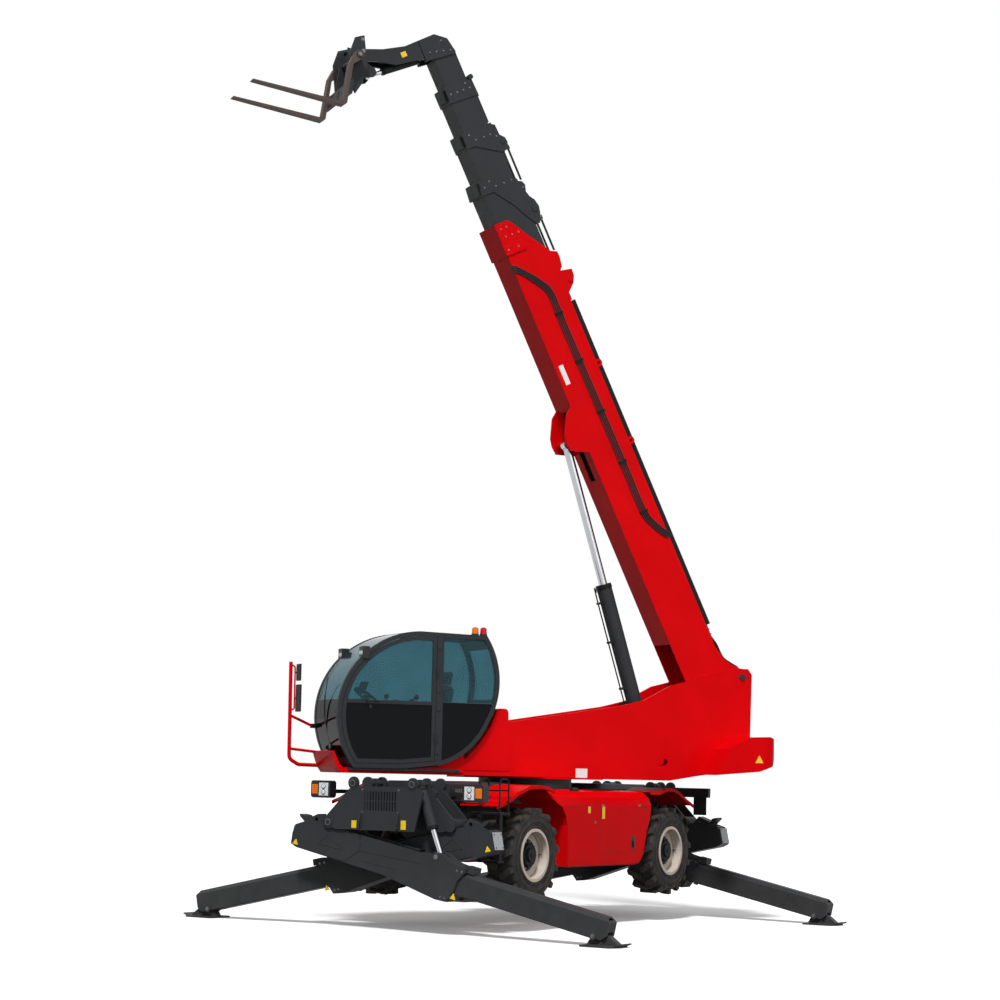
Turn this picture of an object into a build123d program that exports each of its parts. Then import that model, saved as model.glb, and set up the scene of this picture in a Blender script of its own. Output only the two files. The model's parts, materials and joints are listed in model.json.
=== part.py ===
"""Rotating telehandler standing on four crossed outriggers, boom raised.

Row frame: +X to the front of the lower chassis, +Y to its left, +Z up, with the
origin on the ground straight under the slew axis.  All sizes are in millimetres.
"""
from build123d import *
from math import cos, radians, sin
import os

os.makedirs("parts", exist_ok=True)

# ------------------------------------------------------------ driving sizes
SLEW = -34.5                    # heading of the upper structure, degrees
LIFT = 63.7                     # rise of the boom above level, degrees

RUN = 0.3                       # at slide pads, pins and thrust faces
CLEAR = 8.0                     # between pieces that pass each other
SHEET = 8.0                     # folded covers

# wheels and axles
WHEELBASE = 3515.0
AXLE_Z = 939.0
TYRE_R, TYRE_W = 585.0, 405.0
TREAD_R = 540.0
TYRE_Y = 1072.0                 # middle of the tyre
RIM_R, RIM_WALL, FLANGE_R = 305.0, 14.0, 328.0
KINGPIN_Y, KINGPIN_R = 860.0, 55.0
YOKE = 150.0                    # half the gap between the yoke's arms
HUB_R = 100.0
AXLE_R = 105.0

# lower chassis
FRAME_HALF = 300.0              # half width of the main box
FRAME_TOP, FRAME_LOW = 1560.0, 1080.0
DECK_Z = 1660.0                 # underside of the slew ring
RING_R, RING_BORE = 620.0, 470.0
RING_TOP = 1875.0
BODY_OUT, BODY_IN = 1220.0, 330.0
BODY_CREASE = 1550.0
BODY_TOP = 1745.0

# outriggers: two crossed legs at each end of the chassis
LEG_SLOPE = 12.0                # fall of a lowered leg, degrees
LEG_W = 250.0                   # outer box over its doublers, along X
BOX_W = 238.0                   # the same between the doublers
LEG_X = (2985.0, 2685.0)        # inboard faces of the outer and the inner leg of an end
PIVOT_Y, PIVOT_Z, PIVOT_R = 800.0, 1295.0, 45.0
BOX_TOP, BOX_LOW = -45.0, -428.0
BOX_TAIL, BOX_MOUTH = -505.0, 2090.0
LIP_LOW = -500.0
BEAM_Z, BEAM_H, BEAM_W, BEAM_WALL = -262.0, 286.0, 190.0, 14.0
BEAM_TAIL, BEAM_END = 1550.0, 4090.0
END_PLATE_LOW = -288.0          # foot of the plate that closes a beam's end
FOOT_PIN_X, FOOT_PIN_Z, FOOT_PIN_R = 3923.0, -371.0, 30.0
FOOT_L, FOOT_W, FOOT_T = 450.0, 420.0, 20.0
FOOT_OUT = 110.0                # pad centre, out from its pin
FOOT_SHIFT = 45.0               # pad centre, away from the neighbouring leg
FOOT_LUG = 100.0
RAM_Y, RAM_Z = 440.0, 1780.0    # fixed pin of an outrigger cylinder
RAM_PIN_R, RAM_EYE_R, RAM_EYE_W = 30.0, 60.0, 64.0
RAM_R, RAM_ROD_R, RAM_LENGTH = 62.0, 34.0, 575.0
LEG_PIN_X, LEG_PIN_Z = 1625.0, -30.0
ROD_EYE_R = 50.0
EYE_DRIFT = 20.0                # room in the leg's slot around the rod's eye

# upper structure, in its own frame
PLATE_IN, PLATE_T = 275.0, 35.0
HULL_LOW = 1885.0
BOOM_PIN_X, BOOM_PIN_Z, BOOM_PIN_R = -3105.0, 3323.0, 60.0
LIFT_PIN_X, LIFT_PIN_Z, LIFT_PIN_R = -1850.0, 2152.0, 60.0
CAB_IN, CAB_OUT = 345.0, 1250.0
CAB_WALL = 45.0

# boom, in its own frame: along from the pivot, and up from it
BOOM_HALF = 250.0
BASE_LOW, BASE_TOP = -800.0, -178.0
BASE_REAR, BASE_FRONT, BASE_WALL = 260.0, 7025.0, 10.0
COLLAR = 18.0                   # how far the base section's collar stands proud
EYE_U, EYE_V = 3907.0, -963.0   # head pin of the lift cylinder
LIFT_R, LIFT_ROD_R, LIFT_LENGTH = 105.0, 58.0, 2480.0
LIFT_ROD_LENGTH, LIFT_EYE_W = 2480.0, 120.0
TRAY_TOP = -95.0
ROD_LINE_R = 15.0               # chain rods over the sections

# gooseneck and fork carriage
NECK_PIN_U, NECK_PIN_V = 9788.0, -1643.0
TILT_U, TILT_V = 9470.0, -800.0
TILT_PIN_R, TILT_R, TILT_ROD_R, TILT_LENGTH, TILT_EYE_W = 24.0, 48.0, 28.0, 560.0, 60.0
TILT_ROD_LENGTH = 555.0
CARRY_PIN_R = 35.0              # pin of the fork carriage
FORK_PITCH = 7.5                # rise of the forks at rest, degrees
FORK_Y, FORK_W = 440.0, 120.0
CARRIAGE_HALF, CARRIAGE_PLATE = 510.0, 360.0
SHAFT_X, SHAFT_Z, SHAFT_R = 85.0, -110.0, 30.0
CARRIAGE_LUG_Y = 160.0          # inner faces of the lugs beside the neck


# ------------------------------------------------------------------- planes
def within(frame, local):
    """A plane given in another plane's own axes."""
    return Plane(frame.location * local.location)


def side_of(frame, y):
    """Upright plane at left offset y: local x forward, local y up, facing right."""
    return within(frame, Plane.XZ.offset(-y))


def front_of(frame, x):
    """Cross plane at x: local x to the left, local y up, facing forward."""
    return within(frame, Plane.YZ.offset(x))


def top_of(frame, z):
    """Level plane at height z in a frame."""
    return within(frame, Plane.XY.offset(z))


def point(frame, x, y, z):
    """A place given in a frame's own axes."""
    return (frame.location * Location((x, y, z))).position


TURRET = Plane.XY.rotated((0, 0, SLEW))
BOOM = within(TURRET, Plane(Location((BOOM_PIN_X, 0, BOOM_PIN_Z), (0, -LIFT, 0))))
REAR_END = Plane.XY.rotated((0, 0, 180))


def outline(points):
    """A closed straight-sided face in the sketch that is open."""
    Polygon(*points, align=None)


def block(frame, x, y, z, mode=Mode.ADD):
    """A box between pairs of limits in a frame's own axes."""
    middle = [(low + high) / 2 for low, high in (x, y, z)]
    with Locations(frame.location * Location(middle)):
        Box(x[1] - x[0], y[1] - y[0], z[1] - z[0], mode=mode)


def bar(frame, start, end, radius, mode=Mode.ADD):
    """A round bar along a frame's x axis."""
    with Locations(frame.location * Location(((start + end) / 2, 0, 0), (0, 90, 0))):
        Cylinder(radius, end - start, mode=mode)


def cross_pin(frame, x, z, radius, y, mode=Mode.ADD):
    """A round pin between two left offsets, at (x, z) of a frame."""
    with Locations(frame.location * Location((x, (y[0] + y[1]) / 2, z), (90, 0, 0))):
        Cylinder(radius, abs(y[1] - y[0]), mode=mode)


def save(solid, label):
    solid.label = label
    export_step(solid, "parts/" + label + ".step")


# ============================================================ lower chassis
CROSS_PLATE = ((-690, 1213), (-862, 1262), (-872, 1340), (-500, 1710), (-455, 1742), (500, 1742),
               (600, 1690), (588, 1640), (481, 1213))
BOX_MID = LEG_X[1] + LEG_W + (LEG_X[0] - LEG_X[1] - LEG_W) / 2
# inboard face, thickness, and which way round each cross plate of an end stands
CROSS_PLATES = ((LEG_X[0] + LEG_W + CLEAR, 25.0, 1), (BOX_MID - 17, 34.0, 1),
                (BOX_MID - 17, 34.0, -1), (LEG_X[1] - CLEAR - 35, 35.0, -1))
PLATE_FRONT = CROSS_PLATES[0][0] + CROSS_PLATES[0][1]
EAR_R = 78.0
TOW_FINS = (-310.0, 250.0)
FIN_SIDE = ((0, 1440), (12, 1440), (62, 1300), (62, 1241), (0, 1241))
# slots of the front grille: pitch, count, width, and the two rows' heights
GRILLE = (41.0, 12, 20.0, ((1452.0, 1562.0), (1574.0, 1684.0)))
GRILLE_Y = -32.0
CORE_HALF, CORE_LOW, CORE_TOP = 270.0, 1330.0, 1715.0
CORE_REAR = 2560.0

with BuildPart() as chassis_frame:
    with BuildSketch(Plane.XZ.offset(-FRAME_HALF)):
        outline(((-CORE_REAR - 60, 1330), (-2300, FRAME_LOW), (2300, FRAME_LOW),
                 (CORE_REAR + 60, 1330), (CORE_REAR + 60, FRAME_TOP), (-CORE_REAR - 60, FRAME_TOP)))
    extrude(amount=2 * FRAME_HALF)
    with BuildSketch(Plane.XY.offset(FRAME_TOP)):
        Circle(RING_R + 30)
    extrude(amount=DECK_Z - FRAME_TOP)
    with BuildSketch(Plane.XY.offset(DECK_Z)):
        Circle(RING_R)
        Circle(RING_BORE, mode=Mode.SUBTRACT)
    extrude(amount=RING_TOP - RUN - DECK_Z)
    for end in (Plane.XY, REAR_END):
        for x, thick, flip in CROSS_PLATES:
            with BuildSketch(front_of(end, x)):
                outline([(flip * y, z) for y, z in CROSS_PLATE])
                with Locations((-flip * PIVOT_Y, PIVOT_Z), (-RAM_Y, RAM_Z), (RAM_Y, RAM_Z)):
                    Circle(EAR_R)
            extrude(amount=thick)
        # heads of the pins, proud of the outermost plate
        for proud, radius in ((8, PIVOT_R + 20), (16, PIVOT_R - 5)):
            with BuildSketch(front_of(end, PLATE_FRONT)):
                with Locations((-PIVOT_Y, PIVOT_Z), (-RAM_Y, RAM_Z), (RAM_Y, RAM_Z)):
                    Circle(radius)
            extrude(amount=proud)
        # recovery fins on the outermost plate
        for y in TOW_FINS:
            with BuildSketch(Plane.XZ.offset(-end.x_dir.X * y - 8)):
                outline([(end.x_dir.X * (PLATE_FRONT - 1 + x), z) for x, z in FIN_SIDE])
                with Locations((end.x_dir.X * (PLATE_FRONT + 34), 1275)):
                    Circle(15, mode=Mode.SUBTRACT)
            extrude(amount=16)
        with BuildSketch(front_of(end, CORE_REAR)):
            with Locations((0, (CORE_LOW + CORE_TOP) / 2)):
                Rectangle(2 * CORE_HALF, CORE_TOP - CORE_LOW)
        extrude(amount=LEG_X[0] + LEG_W + CLEAR - CORE_REAR)
        # pins of the leg pivots and of the outrigger cylinders
        for x, flip in ((LEG_X[0], 1), (LEG_X[1], -1)):
            with BuildSketch(front_of(end, x - CLEAR - 1)):
                with Locations((-flip * PIVOT_Y, PIVOT_Z)):
                    Circle(PIVOT_R)
                with Locations((flip * RAM_Y, RAM_Z)):
                    Circle(RAM_PIN_R)
            extrude(amount=LEG_W + 2 * CLEAR + 2)
        # cover over the front and rear of the frame
        with BuildSketch(front_of(end, RING_R + 260)):
            outline(((-430, FRAME_TOP), (-430, 1752), (-350, 1820), (430, 1820), (560, 1790),
                     (560, FRAME_TOP)))
        extrude(amount=CROSS_PLATES[3][0] - RING_R - 260)
    # slots of the grille in the front plate, with the air box behind it
    pitch, count, width, rows = GRILLE
    half = pitch * count / 2
    block(Plane.XY, (PLATE_FRONT - 90, PLATE_FRONT - 12), (GRILLE_Y - half, GRILLE_Y + half),
          (rows[0][0] - 6, rows[1][1] + 6), Mode.SUBTRACT)
    for i in range(count):
        y = GRILLE_Y + (i - (count - 1) / 2) * pitch
        for row in rows:
            block(Plane.XY, (PLATE_FRONT - 13, PLATE_FRONT + 1), (y - width / 2, y + width / 2), row,
                  Mode.SUBTRACT)

# side bodies and mudguards
# side view, whose front sweeps up and forward over the wheel; and section of the left one
SIDE_POINTS = ((878, 780), (905, 1300), (935, 1400), (1040, 1525), (1270, 1640), (1270, BODY_TOP + 5),
               (-1215, BODY_TOP + 5), (-1279, BODY_CREASE), (-1248, 1370), (-1164, 1195), (-1118, 1050),
               (-1081, 900),
               (-960, 790), (-880, 770), (850, 770))
SIDE_SECTION = ((BODY_IN, 770), (BODY_OUT - 15, 770), (BODY_OUT, 790), (BODY_OUT, BODY_CREASE),
                (BODY_OUT - 30, 1650), (BODY_OUT - 110, 1725), (700, BODY_TOP), (660, FRAME_TOP),
                (BODY_IN, FRAME_TOP))
MUDGUARDS = (((2608, 1551), (2446, 1592), (2290, 1650), (2118, 1720), (1869, 1790), (1600, 1800),
              (1450, 1785), (1271, BODY_TOP - 6)),
             ((-2440, 1560), (-2230, 1640), (-2008, 1740), (-1870, 1780), (-1700, 1785),
              (-1457, 1735), (-1217, BODY_TOP - 6)))
GUARD_T, GUARD_IN, GUARD_OUT = 14.0, 700.0, 1250.0
LIP = 45.0                      # turned-down outer edge of a mudguard


ARCH = ((-1330, 700), (-1030, 700), (-1030, 1110), (-1085, 1210), (-1145, 1310), (-1232, 1410),
        (-1330, 1470))
ARCH_OUT = 1190.0               # inside this, the skin steps forward to free the steered rear tyre


def body_form(side, inset):
    """A side body's outer form, or one set in from it: its section cut to its side view, less the arch."""
    with BuildPart(mode=Mode.PRIVATE) as form:
        with BuildSketch(Plane.YZ.offset(-1400)):
            outline([(side * y, z) for y, z in SIDE_SECTION])
            if inset:
                offset(amount=-inset, mode=Mode.REPLACE, kind=Kind.INTERSECTION)
        extrude(amount=2800)
        with BuildSketch(Plane.XZ.offset(-1400)):
            outline(SIDE_POINTS)
            if inset:
                offset(amount=-inset, mode=Mode.REPLACE, kind=Kind.INTERSECTION)
        extrude(amount=2800, mode=Mode.INTERSECT)
        with BuildSketch(Plane.XZ.offset(-ARCH_OUT - inset if side == 1 else 0)):
            outline(ARCH)
            if inset:
                offset(amount=inset, mode=Mode.REPLACE, kind=Kind.INTERSECTION)
        extrude(amount=ARCH_OUT + inset, mode=Mode.SUBTRACT)
    return form.part


with BuildPart() as side_bodies:
    for side in (1, -1):
        add(body_form(side, 0))
        add(body_form(side, SHEET), mode=Mode.SUBTRACT)
        for points in MUDGUARDS:
            for width, depth in ((GUARD_OUT - GUARD_IN, GUARD_T), (GUARD_T, LIP)):
                with BuildSketch(Plane.XZ.offset(-GUARD_OUT if side == 1 else GUARD_OUT - width)):
                    outline(list(points) + [(x, z - depth) for x, z in reversed(points)])
                extrude(amount=width)
        # brackets that carry the mudguards from the frame
        for x in (WHEELBASE / 2, -WHEELBASE / 2):
            block(Plane.XY, (x - 40, x + 40), sorted((side * (FRAME_HALF + RUN), side * (GUARD_IN + 15))),
                  (FRAME_TOP - 30, FRAME_TOP - 8))
            block(Plane.XY, (x - 40, x + 40), sorted((side * GUARD_IN, side * (GUARD_IN + 15))),
                  (FRAME_TOP - 30, 1778))

with BuildPart() as engine_block:
    with BuildSketch(Plane.XY.offset(770 + SHEET)):
        with Locations((0, -780)):
            Rectangle(1300, 640)
    extrude(amount=680)

# axles with their kingpin yokes
SHAFT = 38.0                    # radius of the propeller shafts
YOKE_OUTLINE = ((-150, -80), (-150, 80), (-100, 190), (50, 190), (50, YOKE), (-62, YOKE),
                (-110, 90), (-110, -90), (-62, -YOKE), (50, -YOKE), (50, -190), (-100, -190))
with BuildPart() as axles:
    # drop gearbox under the frame and the shafts to both axles
    block(Plane.XY, (-190, 190), (-150, 150), (AXLE_Z - 120, FRAME_LOW - RUN))
    bar(Plane.XY.offset(AXLE_Z), -WHEELBASE / 2, WHEELBASE / 2, SHAFT)
    for x in (WHEELBASE / 2, -WHEELBASE / 2):
        with BuildSketch(Plane.XZ.offset(120 - KINGPIN_Y)):
            with Locations((x, AXLE_Z)):
                Circle(AXLE_R)
        extrude(amount=2 * (KINGPIN_Y - 120))
        with BuildSketch(Plane.XZ.offset(-150)):
            with Locations((x, AXLE_Z)):
                Circle(FRAME_LOW - AXLE_Z - 1)
        extrude(amount=300)
        block(Plane.XY, (x - 130, x + 130), (-250, 250), (AXLE_Z, FRAME_LOW - RUN))
        for side in (1, -1):
            with BuildSketch(Plane.YZ.offset(x - 60)):
                outline([(side * (KINGPIN_Y + y), AXLE_Z + z) for y, z in YOKE_OUTLINE])
            extrude(amount=120)

# ================================================================== wheels
# name, which end, which side
WHEELS = (("front_left", 1, 1), ("front_right", 1, -1), ("rear_left", -1, 1), ("rear_right", -1, -1))
HUB_END = 1180.0
LUGS, LUG_DEPTH = 15, 52.0
LUG_OUTLINE = ((-60, 12), (10, 12), (88, 150), (88, 192), (20, 192), (-60, 40))

RIM_PROFILE = ((-200, RIM_R - RIM_WALL), (200, RIM_R - RIM_WALL), (200, FLANGE_R), (188, FLANGE_R),
               (188, RIM_R), (-188, RIM_R), (-188, FLANGE_R), (-200, FLANGE_R))
DISC_PROFILE = ((-40, HUB_R + RUN), (55, HUB_R + RUN), (55, HUB_R + 30), (30, HUB_R + 40),
                (30, 210), (60, RIM_R - RIM_WALL + 2), (40, RIM_R - RIM_WALL + 2), (8, 210),
                (-40, HUB_R + 40))
TYRE_PROFILE = ((-187, RIM_R + RUN), (187, RIM_R + RUN), (187, FLANGE_R + 6), (202, 430), (188, 520), (150, TREAD_R),
                (-150, TREAD_R), (-188, 520), (-202, 430), (-187, FLANGE_R + 6))


def wheel_frame(end, side):
    """Wheel centre: local z out along the axle, local x forward or back, local y up."""
    return Plane(origin=(end * WHEELBASE / 2, side * TYRE_Y, AXLE_Z), x_dir=(-side, 0, 0),
                 z_dir=(0, side, 0))


wheel_parts = {}
for name, end, side in WHEELS:
    frame = wheel_frame(end, side)
    section = Plane(origin=frame.origin, x_dir=frame.z_dir, z_dir=frame.z_dir.cross(frame.y_dir))
    axle = Axis(frame.origin, frame.z_dir)
    with BuildPart() as rim:
        with BuildSketch(section):
            outline(RIM_PROFILE)
            outline(DISC_PROFILE)
        revolve(axis=axle)
    wheel_parts["rim_" + name] = rim.part
    with BuildPart() as tyre:
        with BuildSketch(section):
            outline(TYRE_PROFILE)
        revolve(axis=axle)
        for half in (1, -1):
            for i in range(LUGS):
                turn = 360 / LUGS * (i + (0.25 if half == 1 else -0.25))
                spoke = within(frame, Plane.XY.rotated((0, 0, turn)))
                with BuildSketch(within(spoke, Plane(origin=(0, TREAD_R - 25, 0), x_dir=(1, 0, 0),
                                                     z_dir=(0, 1, 0)))):
                    outline([(x, half * z) for x, z in LUG_OUTLINE])
                extrude(amount=LUG_DEPTH + 15)
    wheel_parts["tyre_" + name] = tyre.part
    with BuildPart() as knuckle:
        king = Plane.XY.offset(AXLE_Z - YOKE + RUN)
        with BuildSketch(king):
            with Locations((end * WHEELBASE / 2, side * KINGPIN_Y)):
                Circle(KINGPIN_R)
        extrude(amount=2 * (YOKE - RUN))
        with BuildSketch(Plane.XZ.offset(-side * KINGPIN_Y)):
            with Locations((end * WHEELBASE / 2, AXLE_Z)):
                Circle(HUB_R)
        extrude(amount=-side * (HUB_END - KINGPIN_Y))
    wheel_parts["knuckle_" + name] = knuckle.part

# =============================================================== outriggers
# name, end of the chassis, which of the end's two planes, side of the foot
LEGS = (("front_left", 1, 0, 1), ("front_right", 1, 1, -1),
        ("rear_right", -1, 0, -1), ("rear_left", -1, 1, 1))
BOX_OUTLINE = ((BOX_TAIL - 25, -402), (BOX_TAIL - 35, -268), (BOX_TAIL - 15, -156), (-395, -90),
               (-140, -45), (250, BOX_TOP), (1540, BOX_TOP), (1585, 20), (1690, 20), (1830, BOX_TOP),
               (BOX_MOUTH - 15, BOX_TOP - 17), (BOX_MOUTH - 15, -110), (1995, -225), (1965, -370),
               (1895, LIP_LOW - 10), (1725, LIP_LOW - 22), (1072, BOX_LOW - 20), (900, BOX_LOW),
               (-440, BOX_LOW))
# doubler plates on both faces of a box: around the pivot, and around the mouth
DOUBLERS = (((-230, -140), (-150, -60), (300, -60), (510, -140), (510, -235), (360, -375),
             (315, -415), (-230, -415)),
            ((1075, -445), (1095, -375), (1370, -320), (1480, -70), (1585, 12), (1690, 12),
             (1825, -55), (2060, -68), (2060, -125), (1985, -225), (1955, -370), (1888, -505),
             (1725, -515)))
STEP_SIDE = ((-515, -22), (-505, -48), (-400, -110), (-130, -60), (-150, -20), (-235, 45),
             (-400, -62), (-440, -22))


def leg_frame(end, row, foot_side, slope=LEG_SLOPE):
    """Leg pivot: local x out and down along the leg, local z square to it."""
    base = Plane.XY if end == 1 else REAR_END
    side = foot_side * end
    a = radians(slope)
    return within(base, Plane(origin=(LEG_X[row] + LEG_W / 2, -side * PIVOT_Y, PIVOT_Z),
                              x_dir=(0, side * cos(a), -sin(a)), z_dir=(0, side * sin(a), cos(a))))


def ram_frame(end, row, foot_side):
    """Fixed pin of a leg's cylinder: local x down along the cylinder; and its length."""
    leg = leg_frame(end, row, foot_side)
    eye = point(leg, LEG_PIN_X, 0, LEG_PIN_Z)
    top = Vector(leg.origin.X, foot_side * RAM_Y, RAM_Z)
    along = eye - top
    return Plane(origin=top, x_dir=along, z_dir=Vector(1, 0, 0).cross(along)), along.length


def beam_section(wall):
    """Outline of the sliding beam, a wall's thickness in, chamfered at its edges."""
    w, h = BEAM_W / 2 - wall, BEAM_H / 2 - wall
    return [(y, BEAM_Z + z) for y, z in (
        (-w, -h + 12), (-w, h - 45), (-w + 45, h), (w - 45, h), (w, h - 45), (w, -h + 12),
        (w - 12, -h), (-w + 12, -h))]


leg_parts = {}
for name, end, row, foot_side in LEGS:
    leg = leg_frame(end, row, foot_side)
    with BuildPart() as box:
        with BuildSketch(side_of(leg, BOX_W / 2)):
            outline(BOX_OUTLINE)
        extrude(amount=BOX_W)
        with BuildSketch(side_of(leg, LEG_W / 2)):
            for points in DOUBLERS:
                outline(points)
            Circle(85)
        extrude(amount=LEG_W)
        # bent step plate on top of the tail
        with BuildSketch(side_of(leg, 80)):
            outline(STEP_SIDE)
            with Locations((-245, -30)):
                Circle(26, mode=Mode.SUBTRACT)
        extrude(amount=160)
        # clamp block over the mouth
        block(leg, (BOX_MOUTH - 60, BOX_MOUTH + 80), (-75, 75), (-115, -35))
        with BuildSketch(side_of(leg, LEG_W / 2 + 1)):
            Circle(PIVOT_R + RUN)
        extrude(amount=LEG_W + 2, mode=Mode.SUBTRACT)
        passage = (-BEAM_W / 2 - RUN, BEAM_W / 2 + RUN)
        block(leg, (BOX_TAIL + 25, BOX_MOUTH + 30), passage,
              (BEAM_Z - BEAM_H / 2 - RUN, BEAM_Z + BEAM_H / 2 + RUN), Mode.SUBTRACT)
        # slot for the cylinder's eye, left with two bosses for its pin
        with BuildSketch(side_of(leg, RAM_EYE_W / 2 + 6)):
            with Locations((LEG_PIN_X, LEG_PIN_Z)):
                Circle(ROD_EYE_R + EYE_DRIFT)
            with Locations((LEG_PIN_X - 60, 60)):
                Rectangle(360, 180)
        extrude(amount=RAM_EYE_W + 12, mode=Mode.SUBTRACT)
        # heads of the cylinder's pin
        for side in (1, -1):
            cross_pin(leg, LEG_PIN_X, LEG_PIN_Z, 45, (side * (BOX_W / 2 - 1), side * (LEG_W / 2 + 2)))
    leg_parts["leg_box_" + name] = box.part
    with BuildPart() as beam:
        with BuildSketch(front_of(leg, BEAM_TAIL)):
            outline(beam_section(0))
        extrude(amount=BEAM_END - BEAM_TAIL)
        with BuildSketch(front_of(leg, BEAM_TAIL - 1)):
            outline(beam_section(BEAM_WALL))
        extrude(amount=BEAM_END - BEAM_TAIL - 20, mode=Mode.SUBTRACT)
        # open foot of the end, top corner cut back
        slot = FOOT_LUG / 2 + CLEAR
        block(leg, (FOOT_PIN_X - 170, BEAM_END + 1), (-slot, slot),
              (BEAM_Z - BEAM_H / 2 - 30, END_PLATE_LOW), Mode.SUBTRACT)
        with BuildSketch(side_of(leg, BEAM_W / 2 + 1)):
            outline(((BEAM_END - 58, -118), (BEAM_END + 1, -118), (BEAM_END + 1, -175)))
            outline(((BEAM_END - 75, BEAM_Z - BEAM_H / 2 - 1), (BEAM_END + 1, BEAM_Z - BEAM_H / 2 - 1),
                     (BEAM_END + 1, -330)))
        extrude(amount=BEAM_W + 2, mode=Mode.SUBTRACT)
        cross_pin(leg, FOOT_PIN_X, FOOT_PIN_Z, FOOT_PIN_R, (-BEAM_W / 2, BEAM_W / 2))
        for side in (1, -1):
            cross_pin(leg, FOOT_PIN_X, FOOT_PIN_Z, 46, (side * BEAM_W / 2, side * (BEAM_W / 2 + 14)))
    leg_parts["leg_beam_" + name] = beam.part
    pin = point(leg, FOOT_PIN_X, 0, FOOT_PIN_Z)
    away = 1 if row == 0 else -1
    pin_z = pin.Z
    with BuildPart() as foot:
        with BuildSketch(Plane(origin=(pin.X, pin.Y, 0))):
            with Locations((away * end * FOOT_SHIFT, foot_side * FOOT_OUT)):
                RectangleRounded(FOOT_W, FOOT_L, 60)
        extrude(amount=FOOT_T)
        # turned-up outer edge
        with BuildSketch(Plane.YZ.offset(pin.X + away * end * FOOT_SHIFT - FOOT_W / 2 + 60)):
            outline([(pin.Y + foot_side * y, z) for y, z in (
                (FOOT_OUT + FOOT_L / 2 - 40, 1), (FOOT_OUT + FOOT_L / 2 + 62, 34),
                (FOOT_OUT + FOOT_L / 2 + 58, 50), (FOOT_OUT + FOOT_L / 2 - 40, FOOT_T))])
        extrude(amount=FOOT_W - 120)
        with BuildSketch(Plane.YZ.offset(pin.X - FOOT_LUG / 2)):
            outline([(pin.Y + foot_side * y, z) for y, z in (
                (-110, FOOT_T - 1), (300, FOOT_T - 1), (300, 32), (170, pin_z + 12), (30, pin_z + 38),
                (-40, pin_z + 10))])
            with Locations((pin.Y, pin_z)):
                Circle(48)
        extrude(amount=FOOT_LUG)
        # side ribs of the lug
        with BuildSketch(Plane.XZ.offset(-(pin.Y + foot_side * 105) - 8)):
            outline(((pin.X - 165, FOOT_T - 1), (pin.X + 165, FOOT_T - 1),
                     (pin.X + FOOT_LUG / 2, 62), (pin.X - FOOT_LUG / 2, 62)))
        extrude(amount=16)
        with BuildSketch(Plane.YZ.offset(pin.X - FOOT_LUG / 2 - 1)):
            with Locations((pin.Y, pin_z)):
                Circle(FOOT_PIN_R + RUN)
        extrude(amount=FOOT_LUG + 2, mode=Mode.SUBTRACT)
    leg_parts["leg_foot_" + name] = foot.part
    ram, ram_length = ram_frame(end, row, foot_side)
    with BuildPart() as barrel:
        bar(ram, 45, RAM_LENGTH, RAM_R)
        cross_pin(ram, 0, 0, RAM_EYE_R, (-RAM_EYE_W / 2, RAM_EYE_W / 2))
        cross_pin(ram, 0, 0, RAM_PIN_R + RUN, (-RAM_R - 1, RAM_R + 1), Mode.SUBTRACT)
        bar(ram, 90, RAM_LENGTH + 1, RAM_ROD_R + RUN, Mode.SUBTRACT)
    leg_parts["leg_barrel_" + name] = barrel.part
    with BuildPart() as rod:
        bar(ram, ram_length - 480, ram_length - 20, RAM_ROD_R)
        cross_pin(ram, ram_length, 0, ROD_EYE_R, (-RAM_EYE_W / 2, RAM_EYE_W / 2))
    leg_parts["leg_rod_" + name] = rod.part

# ========================================================= upper structure
HULL = ((1000, HULL_LOW), (-2000, HULL_LOW), (-2470, 1965), (-3080, 2030), (-3230, 2400),
        (-3250, 3360), (-3190, 3440), (-3040, 3434), (-2500, 3300), (-2000, 3170), (-1600, 2960),
        (-1240, 2870), (365, 2610), (720, 2540), (1000, 2250))
HULL_HALF = PLATE_IN + PLATE_T
TABLE_T = 35.0                  # turntable plate
DECK_LOW = RING_TOP + 25        # deck that carries the cab
CAB_BASE = DECK_LOW + 68        # underside of the cab
CAB_FLOOR = CAB_BASE + 102
SEAT_BASE = CAB_FLOOR + 275
PORT_X, PORT_Z = -1885.0, 2135.0    # slotted port in both side plates
CAB_MID = (CAB_IN + CAB_OUT) / 2

with BuildPart() as turret_frame:
    for y in (HULL_HALF, -PLATE_IN):
        with BuildSketch(side_of(TURRET, y)):
            outline(HULL)
            with Locations((PORT_X, PORT_Z)):
                SlotOverall(170, 96, mode=Mode.SUBTRACT)
        extrude(amount=PLATE_T)
    with BuildSketch(top_of(TURRET, RING_TOP)):
        Circle(RING_R + 40)
        Rectangle(2000, 2 * HULL_HALF)
    extrude(amount=TABLE_T)
    # floor between the side plates, behind the turntable
    with BuildSketch(side_of(TURRET, PLATE_IN)):
        outline(((-600, HULL_LOW), (-2000, HULL_LOW), (-2400, 1953), (-2400, 1973), (-2000, 1905),
                 (-600, 1905)))
    extrude(amount=2 * PLATE_IN)
    # back plate between the side plates
    with BuildSketch(side_of(TURRET, PLATE_IN)):
        outline(((-3200, 2515), (-3235, 2515), (-3250, 3000), (-3215, 3000)))
    extrude(amount=2 * PLATE_IN)
    # deck that carries the cab
    block(TURRET, (50, 2950), (HULL_HALF - 1, 1150), (DECK_LOW, CAB_BASE - RUN))
    # pins of the boom and of the lift cylinder
    with BuildSketch(side_of(TURRET, HULL_HALF)):
        with Locations((BOOM_PIN_X, BOOM_PIN_Z)):
            Circle(BOOM_PIN_R)
        with Locations((LIFT_PIN_X, LIFT_PIN_Z)):
            Circle(LIFT_PIN_R)
    extrude(amount=2 * HULL_HALF)

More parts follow.
